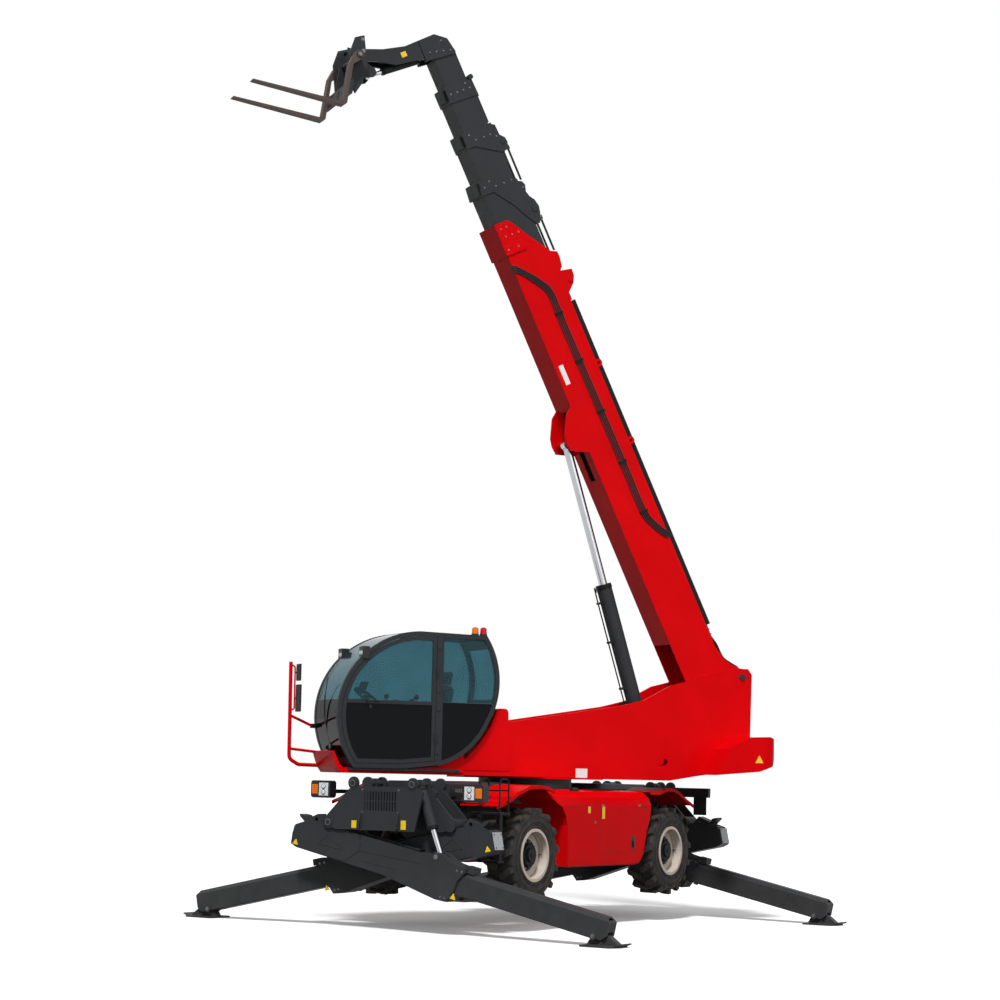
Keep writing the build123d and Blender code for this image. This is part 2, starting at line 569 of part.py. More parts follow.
COWL = ((735, CAB_BASE), (1550, CAB_BASE), (1330, CAB_BASE + 142), (1150, CAB_BASE + 332),
        (1000, CAB_BASE + 552), (905, CAB_BASE + 790), (755, CAB_BASE + 790))
POD_LOW, POD_OUT = RING_TOP + 40, 1050.0    # pod on the right of the boom
POD_SIDE = ((-1500, POD_LOW), (700, POD_LOW), (700, POD_LOW + 465), (560, POD_LOW + 565),
            (-1300, POD_LOW + 645), (-1500, POD_LOW + 545))
POD_LOUVRES = 9
with BuildPart() as service_covers:
    with BuildSketch(side_of(TURRET, 1160)):
        outline(COWL)
        fillet(vertices().group_by(Axis.Y)[-1], 55)
    extrude(amount=1160 - HULL_HALF - RUN)
    with BuildSketch(side_of(TURRET, -HULL_HALF - RUN)):
        outline(POD_SIDE)
    extrude(amount=POD_OUT - HULL_HALF)
    # louvres in the outer face of the pod
    for i in range(POD_LOUVRES):
        x = -1250 + i * 70
        block(TURRET, (x, x + 30), (-POD_OUT - 1, 12 - POD_OUT), (POD_LOW + 165, POD_LOW + 465),
              Mode.SUBTRACT)

WEIGHT_REAR = -3400.0
WEIGHT = ((-2420, 1975), (-3085, 2032), (-3320, 2110), (WEIGHT_REAR, 2300), (-3385, 2470), (-3260, 2505),
          (-2950, 2490), (-2640, 2330))
with BuildPart() as counterweight:
    for y, width in ((850, 850 - HULL_HALF - RUN), (PLATE_IN - RUN, 2 * (PLATE_IN - RUN)),
                     (-HULL_HALF - RUN, 850 - HULL_HALF - RUN)):
        with BuildSketch(side_of(TURRET, y)):
            outline(WEIGHT)
        extrude(amount=width)
    # both rear corners rounded in plan
    with BuildSketch(top_of(TURRET, 1900)):
        with Locations((WEIGHT_REAR + 750, 0)):
            RectangleRounded(1500, 1700, 230)
    extrude(amount=700, mode=Mode.INTERSECT)

# --------------------------------------------------------------------- cab
SILL_X = 1740.0                 # middle of the pillar behind the door
PILLAR = 45.0                   # half its width
FRAME_T = 55.0                  # width of the side frames
DOOR_GAP = 6.0
GLASS = 8.0


def over(x, height):
    """A place in the cab's side view, by its height over the cab's underside."""
    return (x, CAB_BASE + height)


with BuildSketch() as cab_side:
    with BuildLine():
        ThreePointArc(over(2866, 0), over(3094, 682), over(2842, 1329))
        ThreePointArc(over(2842, 1329), over(2480, 1607), over(2013, 1724))
        Line(over(2013, 1724), over(1110, 1704))
        ThreePointArc(over(1110, 1704), over(924, 1152), over(1054, 611))
        ThreePointArc(over(1054, 611), over(1310, 262), over(1695, 53))
        Line(over(1695, 53), over(2231, 0))
        Line(over(2231, 0), over(2866, 0))
    make_face()


def cab_outline(inset=0.0, mode=Mode.ADD):
    """Side shape of the cab, or one set in from it, in the sketch that is open."""
    if inset:
        add(offset(cab_side.sketch, amount=-inset, kind=Kind.INTERSECTION, mode=Mode.PRIVATE), mode=mode)
    else:
        add(cab_side.sketch, mode=mode)


def cut_beyond(x, forward):
    """Keeps one side of an upright line in the sketch that is open."""
    with Locations(over(x + (1 if forward else -1) * 1500, 832)):
        Rectangle(3000, 3000, mode=Mode.INTERSECT)


# door hinge: its axis stands just outside the pillar behind the door
HINGE_X, HINGE_Y, HINGE_R = SILL_X + PILLAR + 3.0, CAB_OUT + 13.0, 12.0
HINGE_Z = (CAB_BASE + 382, CAB_BASE + 1232)


def hinge_knuckle(low, high, leaf_x):
    """A hinge barrel between two heights, with its leaf on the door or the pillar."""
    with Locations(TURRET.location * Location((HINGE_X, HINGE_Y, (low + high) / 2))):
        Cylinder(HINGE_R, high - low)
    block(TURRET, leaf_x, (CAB_OUT - 2, CAB_OUT + 6), (low, high))


WINDSCREEN = [over(x, height) for x, height in (
    (2700, 122), (3400, 122), (3400, 1332), (2900, 1932), (2100, 1932), (2100, 1592), (2480, 1472),
    (2760, 1212), (2960, 732), (2850, 122))]
with BuildPart() as cab_shell:
    with BuildSketch(side_of(TURRET, CAB_OUT)):
        cab_outline()
    extrude(amount=CAB_OUT - CAB_IN)
    with BuildSketch(side_of(TURRET, CAB_OUT - CAB_WALL)):
        cab_outline(CAB_WALL)
        with Locations((2000, CAB_FLOOR + 1500)):
            Rectangle(3000, 3000, mode=Mode.INTERSECT)
    extrude(amount=CAB_OUT - CAB_IN - 2 * CAB_WALL, mode=Mode.SUBTRACT)
    with BuildSketch(side_of(TURRET, CAB_OUT - FRAME_T)):
        outline(WINDSCREEN)
    extrude(amount=CAB_OUT - CAB_IN - 2 * FRAME_T, mode=Mode.SUBTRACT)
    # door opening, side windows and rear window
    with BuildSketch(side_of(TURRET, CAB_OUT + 1)):
        cab_outline(FRAME_T)
        cut_beyond(SILL_X + PILLAR, True)
    extrude(amount=CAB_WALL + 2, mode=Mode.SUBTRACT)
    with BuildSketch(side_of(TURRET, CAB_OUT + 1)):
        cab_outline(FRAME_T)
        cut_beyond(SILL_X - PILLAR, False)
    extrude(amount=CAB_WALL + 2, mode=Mode.SUBTRACT)
    with BuildSketch(side_of(TURRET, CAB_IN + CAB_WALL + 1)):
        cab_outline(FRAME_T)
        with Locations(over(2000, 1232)):
            Rectangle(3000, 1400, mode=Mode.INTERSECT)
    extrude(amount=CAB_WALL + 2, mode=Mode.SUBTRACT)
    with BuildSketch(front_of(TURRET, 850)):
        with Locations(over(CAB_MID, 1222)):
            Rectangle(CAB_OUT - CAB_IN - 2 * 90, 640)
    extrude(amount=300, mode=Mode.SUBTRACT)
    for z in HINGE_Z:
        hinge_knuckle(z - 50, z - 16, (HINGE_X - 50, HINGE_X))
        hinge_knuckle(z + 16, z + 50, (HINGE_X - 50, HINGE_X))

with BuildPart() as cab_door:
    with BuildSketch(side_of(TURRET, CAB_OUT)):
        cab_outline(FRAME_T + DOOR_GAP)
        cut_beyond(SILL_X + PILLAR + DOOR_GAP, True)
        with BuildSketch(mode=Mode.SUBTRACT):
            cab_outline(FRAME_T + DOOR_GAP + 50)
            cut_beyond(SILL_X + PILLAR + DOOR_GAP + 50, True)
    extrude(amount=CAB_WALL - 8)
    with BuildSketch(side_of(TURRET, CAB_OUT)):
        with Locations(over(2400, 822)):
            Rectangle(1180, 46)
    extrude(amount=CAB_WALL - 8)
    for z in HINGE_Z:
        hinge_knuckle(z - 16 + RUN, z + 16 - RUN, (HINGE_X, HINGE_X + 40))

with BuildPart() as door_glass:
    for low, high in ((-68, 799), (845, 1832)):
        with BuildSketch(side_of(TURRET, CAB_OUT - 14)):
            cab_outline(FRAME_T + DOOR_GAP + 50)
            cut_beyond(SILL_X + PILLAR + DOOR_GAP + 50, True)
            with Locations(over(2400, (low + high) / 2)):
                Rectangle(2000, high - low, mode=Mode.INTERSECT)
        extrude(amount=GLASS)

PANE_IN = 14.0                  # how deep the fixed panes sit in the side frames
with BuildPart() as cab_glass:
    # windscreen, rolled over the front and into the roof
    with BuildSketch(side_of(TURRET, CAB_OUT - FRAME_T)):
        cab_outline(6)
        cab_outline(6 + GLASS, Mode.SUBTRACT)
        with BuildSketch(mode=Mode.INTERSECT):
            outline(WINDSCREEN)
    extrude(amount=CAB_OUT - CAB_IN - 2 * FRAME_T)
    with BuildSketch(side_of(TURRET, CAB_OUT - PANE_IN)):
        cab_outline(FRAME_T)
        cut_beyond(SILL_X - PILLAR, False)
    extrude(amount=GLASS)
    with BuildSketch(side_of(TURRET, CAB_IN + PANE_IN + GLASS)):
        cab_outline(FRAME_T)
        with Locations(over(2000, 1232)):
            Rectangle(3000, 1400, mode=Mode.INTERSECT)
    extrude(amount=GLASS)
    with BuildSketch(side_of(TURRET, CAB_OUT - 90)):
        cab_outline(12)
        cab_outline(12 + GLASS, Mode.SUBTRACT)
        with BuildSketch(mode=Mode.INTERSECT):
            with Locations(over(850, 1222)):
                Rectangle(600, 640)
    extrude(amount=CAB_OUT - CAB_IN - 180)

with BuildPart() as cab_console:
    # seat box, dash and steering wheel, armrest pods on their posts
    floor = CAB_FLOOR + RUN
    block(TURRET, (1710, 2020), (CAB_MID - 200, CAB_MID + 200), (floor, SEAT_BASE - RUN))
    with BuildSketch(side_of(TURRET, CAB_MID + 60)):
        outline(((2540, floor), (2740, floor), (2820, floor + 430), (2780, floor + 670),
                 (2640, floor + 730), (2590, floor + 670), (2680, floor + 450)))
    extrude(amount=120)
    with BuildSketch(within(TURRET, Plane(Location((2560, CAB_MID, floor + 780), (0, -35, 0))))):
        Circle(190)
        Circle(165, mode=Mode.SUBTRACT)
        Rectangle(40, 350)
        Circle(45)
    extrude(amount=26)
    with BuildSketch(within(TURRET, Plane(Location((2560, CAB_MID, floor + 780), (0, -35, 0))))):
        Circle(40)
    extrude(amount=-130)
    for side in (1, -1):
        with BuildSketch(side_of(TURRET, CAB_MID + side * 290 + 55)):
            outline(((1560, floor + 460), (2120, floor + 490), (2150, floor + 540),
                     (2110, floor + 570), (1560, floor + 550)))
        extrude(amount=110)
        block(TURRET, (1720, 1800), sorted((CAB_MID + side * 260, CAB_MID + side * 320)),
              (floor, floor + 480))

with BuildPart() as cab_seat:
    with BuildSketch(side_of(TURRET, CAB_MID + 215)):
        outline([(x, SEAT_BASE + rise) for x, rise in (
            (1560, 0), (2030, 0), (2080, 55), (2070, 125), (2010, 145), (1680, 115), (1540, 695),
            (1510, 875), (1430, 875), (1410, 695), (1500, 135))])
    extrude(amount=430)

RAIL_R = 24.0
RAIL_Y = 390.0
RAIL_X, RAIL_TOP = 3440.0, 3282.0
# tubes of the rail in side view: radius, bend radius, points
RAILS = ((RAIL_R, 90, ((3000, 1984), (3300, 1990), (3425, 2060), (RAIL_X, RAIL_TOP))),
         (18, 0, ((3040, 2150), (RAIL_X - 5, 2188))),
         (18, 0, ((3144, 2484), (RAIL_X, 2610))),
         (11, 30, ((RAIL_X - 5, 3240), (RAIL_X - 58, 3225), (RAIL_X - 62, 2690), (RAIL_X - 5, 2660))))
with BuildPart() as guard_rail:
    # slanted bumper across the foot of the cab, carried by the deck
    with BuildSketch(side_of(TURRET, 1120)):
        outline(((2950 + RUN, DECK_LOW), (2985, DECK_LOW), (3040, 1975), (3105, 2165), (3075, 2170),
                 (3000, 2010), (2950 + RUN, 1965)))
    extrude(amount=1120 - RAIL_Y + 45)
    for radius, bend, points in RAILS:
        with BuildLine(side_of(TURRET, RAIL_Y)) as route:
            if bend:
                FilletPolyline(*points, radius=bend)
            else:
                Line(*points)
        with BuildSketch(Plane(origin=route.line @ 0, z_dir=route.line % 0)):
            RegularPolygon(radius, 12)
        sweep()

# ==================================================================== boom
# name, half width, underside, top, rear end, reach of underside and of top past the base, wall
SECTIONS = (("boom_second", 222.0, -750.0, -208.0, 950.0, 635.0, 475.0, 9.0),
            ("boom_third", 196.0, -705.0, -236.0, 1400.0, 1310.0, 1310.0, 8.0),
            ("boom_fourth", 171.0, -665.0, -266.0, 1850.0, 1968.0, 1968.0, 7.0),
            ("boom_head", 147.0, -628.0, -296.0, 2300.0, 2375.0, 2375.0, 7.0))
MOUTH = 160.0                   # length of the bearing ring at a section's front
CHEEK = 12.0                    # how far a section's collar stands proud
# collars with their pulley cheeks, from each section's front
CHEEKS = (((-210, -790), (-6, -768), (-1, -745), (-170, -268), (-219, -161), (-275, -135),
           (-370, -165), (-449, -138), (-513, -89), (-613, -66), (-700, -85), (-831, -146),
           (-831, -198), (-631, -327), (-497, -394), (-215, -618)),
          ((-222, -717), (0, -717), (0, -290), (-49, -198), (-198, -189), (-255, -130),
           (-317, -118), (-390, -140), (-420, -180), (-424, -255), (-231, -591)),
          ((-233, -677), (0, -677), (0, -350), (-23, -245), (-252, -235), (-243, -300)))
# pulley pins: from the section's front, height, radius, how far in from the cheek
PULLEYS = ((-623, -141, 42, 90), (-292, -181, 40, 70), (14, -246, 36, 80))
# chain rods: front end and rear end from the section's front, height
CHAIN_RODS = ((-726, -1242, -33), (-352, -862, -88), (-200, -636, -218))
ROD_Y = 80.0
BASE_SIDE = ((-60, -60), (-80, -380), (BASE_REAR, BASE_LOW), (BASE_FRONT, BASE_LOW),
             (BASE_FRONT, -605), (BASE_FRONT - 595, BASE_TOP), (560, BASE_TOP), (340, -130),
             (200, -40), (80, 80))
# raised plates at the front of the base section, from its front end
HUMPS = (((-575, -232), (-644, -83), (-725, -80), (-855, -105), (-900, -150), (-900, -232)),
         ((-900, -232), (-900, -150), (-935, 20), (-1035, 10), (-1121, -39), (-1240, -182),
          (-1240, -232)))
LIFT_LUG = ((463, BASE_LOW + 5), (393, -900), (153, -1040), (43, -1065), (-77, -1055),
            (-117, -980), (-207, BASE_LOW + 5))
LUG_T = 32.0
LOOPS = (EYE_U - 286, EYE_U + 861)      # lifting eyes along the top edges

with BuildPart() as boom_base:
    with BuildSketch(side_of(BOOM, BOOM_HALF)):
        outline(BASE_SIDE)
        Circle(120)
    extrude(amount=2 * BOOM_HALF)
    with BuildSketch(side_of(BOOM, BOOM_HALF + COLLAR)):
        outline(((BASE_FRONT - 450, BASE_LOW - COLLAR), (BASE_FRONT, BASE_LOW - COLLAR),
                 (BASE_FRONT, -605), (BASE_FRONT - 225, -442), (BASE_FRONT - 450, -500)))
    extrude(amount=2 * (BOOM_HALF + COLLAR))
    for y in (BOOM_HALF, 30 - BOOM_HALF):
        with BuildSketch(side_of(BOOM, y)):
            for points in HUMPS:
                outline([(BASE_FRONT + u, v) for u, v in points])
        extrude(amount=30)
    for y in (BOOM_HALF, 16 - BOOM_HALF):
        with BuildSketch(side_of(BOOM, y)):
            for u in LOOPS:
                with Locations((u, BASE_TOP + 26)):
                    Circle(54)
                    Circle(20, mode=Mode.SUBTRACT)
        extrude(amount=16)
    inner = BOOM_HALF - BASE_WALL
    block(BOOM, (900, BASE_FRONT - 595 - MOUTH), (-inner, inner),
          (BASE_LOW + BASE_WALL, BASE_TOP - BASE_WALL), Mode.SUBTRACT)
    inner = SECTIONS[0][1] + RUN
    block(BOOM, (800, BASE_FRONT + 75), (-inner, inner),
          (SECTIONS[0][2] - RUN, SECTIONS[0][3] + RUN), Mode.SUBTRACT)
    # open belly behind the tube, between the two cheeks
    block(BOOM, (-200, 850), (-BOOM_HALF + 20, BOOM_HALF - 20), (BASE_LOW - 10, 140), Mode.SUBTRACT)
    cross_pin(BOOM, 0, 0, 120, (-PLATE_IN + RUN, PLATE_IN - RUN))
    cross_pin(BOOM, 0, 0, BOOM_PIN_R + RUN, (-PLATE_IN, PLATE_IN), Mode.SUBTRACT)
    # plates and bosses that take the head of the lift cylinder
    for side in (1, -1):
        with BuildSketch(side_of(BOOM, BOOM_HALF if side == 1 else LUG_T - BOOM_HALF)):
            outline([(EYE_U + u, v) for u, v in LIFT_LUG])
        extrude(amount=LUG_T)
        cross_pin(BOOM, EYE_U, EYE_V, 58, (side * (LIFT_EYE_W / 2 + CLEAR), side * BOOM_HALF))
    # slot in the belly that the head of the lift cylinder swings through
    block(BOOM, (EYE_U - 607, EYE_U + 413), (-75, 75), (BASE_LOW - 1, BASE_LOW + BASE_WALL + 1),
          Mode.SUBTRACT)
    # housing of the chain and hose pulleys, and the pin that carries them
    block(BOOM, (BASE_FRONT - 1325, BASE_FRONT - 625), (-180, 180), (BASE_TOP - 1, -120))
    cross_pin(BOOM, BASE_FRONT - 1060, -60, 38, (-BOOM_HALF - 12, BOOM_HALF + 12))

section_parts = {}
for i, (name, half, low, top, rear, reach_low, reach_top, wall) in enumerate(SECTIONS[:3]):
    inner = SECTIONS[i + 1][1] + RUN
    front_low, front_top = BASE_FRONT + reach_low, BASE_FRONT + reach_top
    front = min(front_low, front_top)
    with BuildPart() as section:
        with BuildSketch(side_of(BOOM, half)):
            outline(((rear, low), (front_low, low), (front_top, top), (rear, top)))
        extrude(amount=2 * half)
        # collar with its chain-pulley cheeks, which stand either side of an open top
        with BuildSketch(side_of(BOOM, half + CHEEK)):
            outline([(front_low + u, v) for u, v in CHEEKS[i]])
        extrude(amount=2 * (half + CHEEK))
        block(BOOM, (front - 800, front + 200), (22 - half, half - 22), (top + 1, top + 200),
              Mode.SUBTRACT)
        # hose clamp plate under the collar
        block(BOOM, (front_low - 190, front_low - 30), (60 - half, half - 60), (low - 48, low))
        block(BOOM, (rear - 1, front - MOUTH), (wall - half, half - wall), (low + wall, top - wall),
              Mode.SUBTRACT)
        block(BOOM, (rear - 1, front + 200), (-inner, inner),
              (SECTIONS[i + 1][2] - RUN, SECTIONS[i + 1][3] + RUN), Mode.SUBTRACT)
        u, v, radius, depth = PULLEYS[i]
        start, end, rise = CHAIN_RODS[i]
        for side in (1, -1):
            cross_pin(BOOM, front_low + u, v, radius,
                      (side * (half + CHEEK + 9), side * (half + CHEEK - depth)))
            # chain rod over the section behind, on its post
            rod = within(BOOM, Plane(origin=(0, side * ROD_Y, rise)))
            bar(rod, front_low + end, front_low + start - 20, ROD_LINE_R)
            block(BOOM, (front_low + start - 60, front_low + start), sorted((side * 60, side * 100)),
                  (top - 1, rise + ROD_LINE_R + 6))
    section_parts[name] = section.part

NECK = ((9374, -300), (9401, -290), (9605, -335), (9714, -492), (9693, -961), (9754, -1278),
        (9850, -1560), (9850, -1690), (9720, -1700), (9640, -1450), (9500, -1180), (9465, -852),
        (9440, -760), (9406, -755))
NECK_DOUBLER = ((9374, -305), (9401, -295), (9600, -338), (9708, -492), (9698, -755), (9406, -755))
NECK_SPINE = ((9374, -300), (9401, -290), (9605, -335), (9714, -492), (9693, -961), (9754, -1278),
              (9850, -1560), (9830, -1560), (9715, -1285), (9653, -961), (9670, -520), (9580, -380),
              (9400, -345))
NECK_T = 42.0
DOUBLER_T = 16.0
name, half, low, top, rear, reach, reach, wall = SECTIONS[3]
front = BASE_FRONT + reach
with BuildPart() as boom_head:
    block(BOOM, (rear, front), (-half, half), (low, top))
    block(BOOM, (rear - 1, front - 60), (wall - half, half - wall), (low + wall, top - wall),
          Mode.SUBTRACT)
    with BuildSketch(side_of(BOOM, half)):
        outline(NECK_SPINE)
    extrude(amount=2 * half)
    for outer, inner in ((half, half - NECK_T), (NECK_T - half, -half)):
        with BuildSketch(side_of(BOOM, outer)):
            outline(NECK)
            with Locations((NECK_PIN_U, NECK_PIN_V)):
                Circle(80)
        extrude(amount=outer - inner)
    for outer in (half + DOUBLER_T, -half):
        with BuildSketch(side_of(BOOM, outer)):
            outline(NECK_DOUBLER)
        extrude(amount=DOUBLER_T)
    cross_pin(BOOM, NECK_PIN_U, NECK_PIN_V, CARRY_PIN_R + RUN, (-half - 1, half + 1), Mode.SUBTRACT)
    cross_pin(BOOM, TILT_U, TILT_V, TILT_PIN_R, (5 - half, half - 5))
section_parts["boom_head"] = boom_head.part

# trays for the hoses and chains along the top of the boom
with BuildPart() as hose_tray:
    for y in (-170, 170):
        block(BOOM, (860, 5690), (y - 45, y + 45), (BASE_TOP + RUN, TRAY_TOP))

# lift cylinder: from its foot pin up to the eye under the boom
lift_eye = point(BOOM, EYE_U, 0, EYE_V)
lift_foot = point(TURRET, LIFT_PIN_X, 0, LIFT_PIN_Z)
LIFT_SPAN = (lift_eye - lift_foot).length
LIFT_RAM = Plane(origin=lift_foot, x_dir=lift_eye - lift_foot,
                 z_dir=(lift_eye - lift_foot).cross(BOOM.y_dir))
with BuildPart() as lift_barrel:
    bar(LIFT_RAM, 70, LIFT_LENGTH, LIFT_R)
    cross_pin(LIFT_RAM, 0, 0, 112, (-90, 90))
    cross_pin(LIFT_RAM, 0, 0, LIFT_PIN_R + RUN, (-LIFT_R, LIFT_R), Mode.SUBTRACT)
    bar(LIFT_RAM, 150, LIFT_LENGTH + 1, LIFT_ROD_R + RUN, Mode.SUBTRACT)
with BuildPart() as lift_rod:
    bar(LIFT_RAM, LIFT_SPAN - LIFT_ROD_LENGTH, LIFT_SPAN - 40, LIFT_ROD_R)
    cross_pin(LIFT_RAM, LIFT_SPAN, 0, 62, (-LIFT_EYE_W / 2, LIFT_EYE_W / 2))

# ============================================================ fork carriage
CARRIAGE = Plane(Location(point(BOOM, NECK_PIN_U, 0, NECK_PIN_V), (0, 0, SLEW))
                 * Location((0, 0, 0), (0, -FORK_PITCH, 0)))
CARRIAGE_SIDE = ((142, 153), (60, 195), (22, 212), (-25, 36), (-88, -165), (-57, -428), (19, -594),
                 (65, -541), (129, -262), (181, -58))
CARRIAGE_LUG = ((-60, 60), (5, 180), (70, 180), (60, 70), (140, -110), (140, -640), (90, -640), (-20, -330),
                (-250, -245), (-285, -190), (-250, -130), (-140, -90))
TILT_X, TILT_Z = -232.0, -190.0
with BuildPart() as fork_carriage:
    for y in (CARRIAGE_PLATE, 30 - CARRIAGE_PLATE):
        with BuildSketch(side_of(CARRIAGE, y)):
            outline(CARRIAGE_SIDE)
        extrude(amount=30)
    # shaft the forks hang on, rest plate behind their shanks
    cross_pin(CARRIAGE, SHAFT_X, SHAFT_Z, SHAFT_R, (-CARRIAGE_HALF, CARRIAGE_HALF))
    for side in (1, -1):
        cross_pin(CARRIAGE, SHAFT_X, SHAFT_Z, SHAFT_R + 12,
                  (side * (FORK_Y + FORK_W / 2 + RUN), side * (CARRIAGE_HALF + 5)))
    block(CARRIAGE, (105, 150), (-CARRIAGE_HALF, CARRIAGE_HALF), (-660, -480))
    cross_pin(CARRIAGE, 0, 0, CARRY_PIN_R, (-CARRIAGE_PLATE, CARRIAGE_PLATE))
    # inner lugs that take the neck pin and the tilt cylinder
    for side in (1, -1):
        inside = CARRIAGE_LUG_Y if side == 1 else -CARRIAGE_LUG_Y - 22
        with BuildSketch(side_of(CARRIAGE, inside + 22)):
            outline(CARRIAGE_LUG)
        extrude(amount=22)
        cross_pin(CARRIAGE, TILT_X, TILT_Z, TILT_PIN_R,
                  (side * (TILT_EYE_W / 2 + 4), side * (CARRIAGE_LUG_Y + 1)))
        # tube and struts from the lugs to the side plates
        cross_pin(CARRIAGE, 35, 150, 25, (side * CARRIAGE_LUG_Y, side * CARRIAGE_PLATE))
        block(CARRIAGE, (20, 110), sorted((side * CARRIAGE_LUG_Y, side * CARRIAGE_PLATE)), (-470, -430))

FORK_SIDE = ((150 + RUN, -240), (196, -240), (204, -760), (230, -793), (1445, -820), (1450, -838),
             (190, -840), (150 + RUN, -800))
FORK_ARM = ((50, -165), (140, -80), (196, -235), (196, -262), (150 + RUN, -262))
with BuildPart() as forks:
    for y in (FORK_Y, -FORK_Y):
        with BuildSketch(side_of(CARRIAGE, y + FORK_W / 2)):
            outline(FORK_SIDE)
            outline(FORK_ARM)
            with Locations((SHAFT_X, SHAFT_Z)):
                Circle(60)
                Circle(SHAFT_R + RUN, mode=Mode.SUBTRACT)
        extrude(amount=FORK_W)

tilt_foot = point(BOOM, TILT_U, 0, TILT_V)
tilt_eye = point(CARRIAGE, TILT_X, 0, TILT_Z)
TILT_SPAN = (tilt_eye - tilt_foot).length
TILT_RAM = Plane(origin=tilt_foot, x_dir=tilt_eye - tilt_foot,
                 z_dir=(tilt_eye - tilt_foot).cross(BOOM.y_dir))
with BuildPart() as tilt_barrel:
    bar(TILT_RAM, 35, TILT_LENGTH, TILT_R)
    cross_pin(TILT_RAM, 0, 0, TILT_PIN_R + 22, (-TILT_EYE_W / 2, TILT_EYE_W / 2))
    cross_pin(TILT_RAM, 0, 0, TILT_PIN_R + RUN, (-TILT_R, TILT_R), Mode.SUBTRACT)
    bar(TILT_RAM, 75, TILT_LENGTH + 1, TILT_ROD_R + RUN, Mode.SUBTRACT)
with BuildPart() as tilt_rod:
    bar(TILT_RAM, TILT_SPAN - TILT_ROD_LENGTH, TILT_SPAN - 20, TILT_ROD_R)
    cross_pin(TILT_RAM, TILT_SPAN, 0, 42, (-TILT_EYE_W / 2, TILT_EYE_W / 2))

# ======================================================== lamps and ladder
LAMP_X, LAMP_Y, LAMP_Z = 2930.0, 1140.0, 1690.0
LAMP_ARM_X = LEG_X[1] - CLEAR - 35 - 30 - RUN
REAR_BAR_X = LEG_X[0] - CLEAR - 35 - RUN        # back of the rear light bars
with BuildPart() as lamps:
    for side in (1, -1):
        with BuildSketch(Plane.YZ.offset(LAMP_X - 60)):
            with Locations((side * LAMP_Y, LAMP_Z)):
                RectangleRounded(300, 215, 40)
        extrude(amount=130)
        # arm out from the end frame
        block(Plane.XY, (LAMP_ARM_X, LAMP_ARM_X + 30), sorted((side * 565, side * 1060)), (1640, 1690))
        block(Plane.XY, (LAMP_ARM_X, LAMP_X - 59), sorted((side * 1000, side * 1060)), (1640, 1690))
        # rear light bar, with the number plate's holder under the left one
        block(Plane.XY, (-REAR_BAR_X, 62 - REAR_BAR_X), sorted((side * 500, side * 1250)),
              (1655, 1785))
    block(Plane.XY, (20 - REAR_BAR_X, 34 - REAR_BAR_X), (1000, 1200), (1410, 1656))

LADDER_X, LADDER_HALF = 2490.0, 100.0
HOOP_R, HOOP_TOP = 11.0, 1870.0
# grab hoops: left offset, feet of the rear and the front leg (the inner one stops over the mudguard)
HOOPS = ((970.0, 1622.0, 1568.0), (1262.0, 1450.0, 1450.0))
with BuildPart() as access_ladder:
    for z, depth in ((1440, 210), (1130, 150), (860, 150)):
        block(Plane.XY, (LADDER_X - 10, LADDER_X + 125), (1270 - 2 * depth, 1270), (z, z + 24))
    for y, rear_foot, front_foot in HOOPS:
        block(Plane.XY, (LADDER_X + 35, LADDER_X + 95), (y - 7, y + 7), (860, 1460))
        with BuildLine(Plane.XZ.offset(-y)) as hoop:
            FilletPolyline((LADDER_X - LADDER_HALF, rear_foot), (LADDER_X - LADDER_HALF, HOOP_TOP),
                           (LADDER_X + LADDER_HALF, HOOP_TOP), (LADDER_X + LADDER_HALF, front_foot),
                           radius=70)
        with BuildSketch(Plane(origin=hoop.line @ 0, z_dir=hoop.line % 0)):
            RegularPolygon(HOOP_R, 12)
        sweep()
    block(Plane.XY, (LADDER_X - LADDER_HALF - 20, LADDER_X + LADDER_HALF + 20), (1242, 1282),
          (1440, 1464))
    for x in (-LADDER_HALF, LADDER_HALF):
        cross_pin(Plane.XY, LADDER_X + x, 1730, HOOP_R - 1, (970, 1262))
    block(Plane.XY, (LADDER_X + 10, LEG_X[1] - CLEAR - 35 - RUN), (565, 980), (1400, 1440))

# ==================================================================== files
single = {
    "chassis_frame": chassis_frame, "side_bodies": side_bodies,
    "engine_block": engine_block, "axles": axles, "lamps": lamps, "access_ladder": access_ladder,
    "turret_frame": turret_frame, "service_covers": service_covers, "counterweight": counterweight,
    "cab_shell": cab_shell, "cab_door": cab_door, "door_glass": door_glass, "cab_glass": cab_glass,
    "cab_console": cab_console, "cab_seat": cab_seat, "guard_rail": guard_rail,
    "boom_base": boom_base, "hose_tray": hose_tray, "lift_barrel": lift_barrel,
    "lift_rod": lift_rod, "fork_carriage": fork_carriage, "forks": forks,
    "tilt_barrel": tilt_barrel, "tilt_rod": tilt_rod,
}
for label, builder in single.items():
    save(builder.part, label)
for label, solid in (wheel_parts | leg_parts | section_parts).items():
    save(solid, label)
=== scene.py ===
"""Looks of the rotating telehandler: materials, small parts, floor, light and camera.

Metres throughout. A small part is placed in the frame of what carries it: a wheel, a leg,
CHASSIS, TURRET, BOOM or CARRIAGE. A side or face is 1 towards +y, the left, and -1 towards
-y, and an end is 1 at the front and -1 at the rear.
"""
import bpy, bmesh, json, math
from mathutils import Matrix, Vector

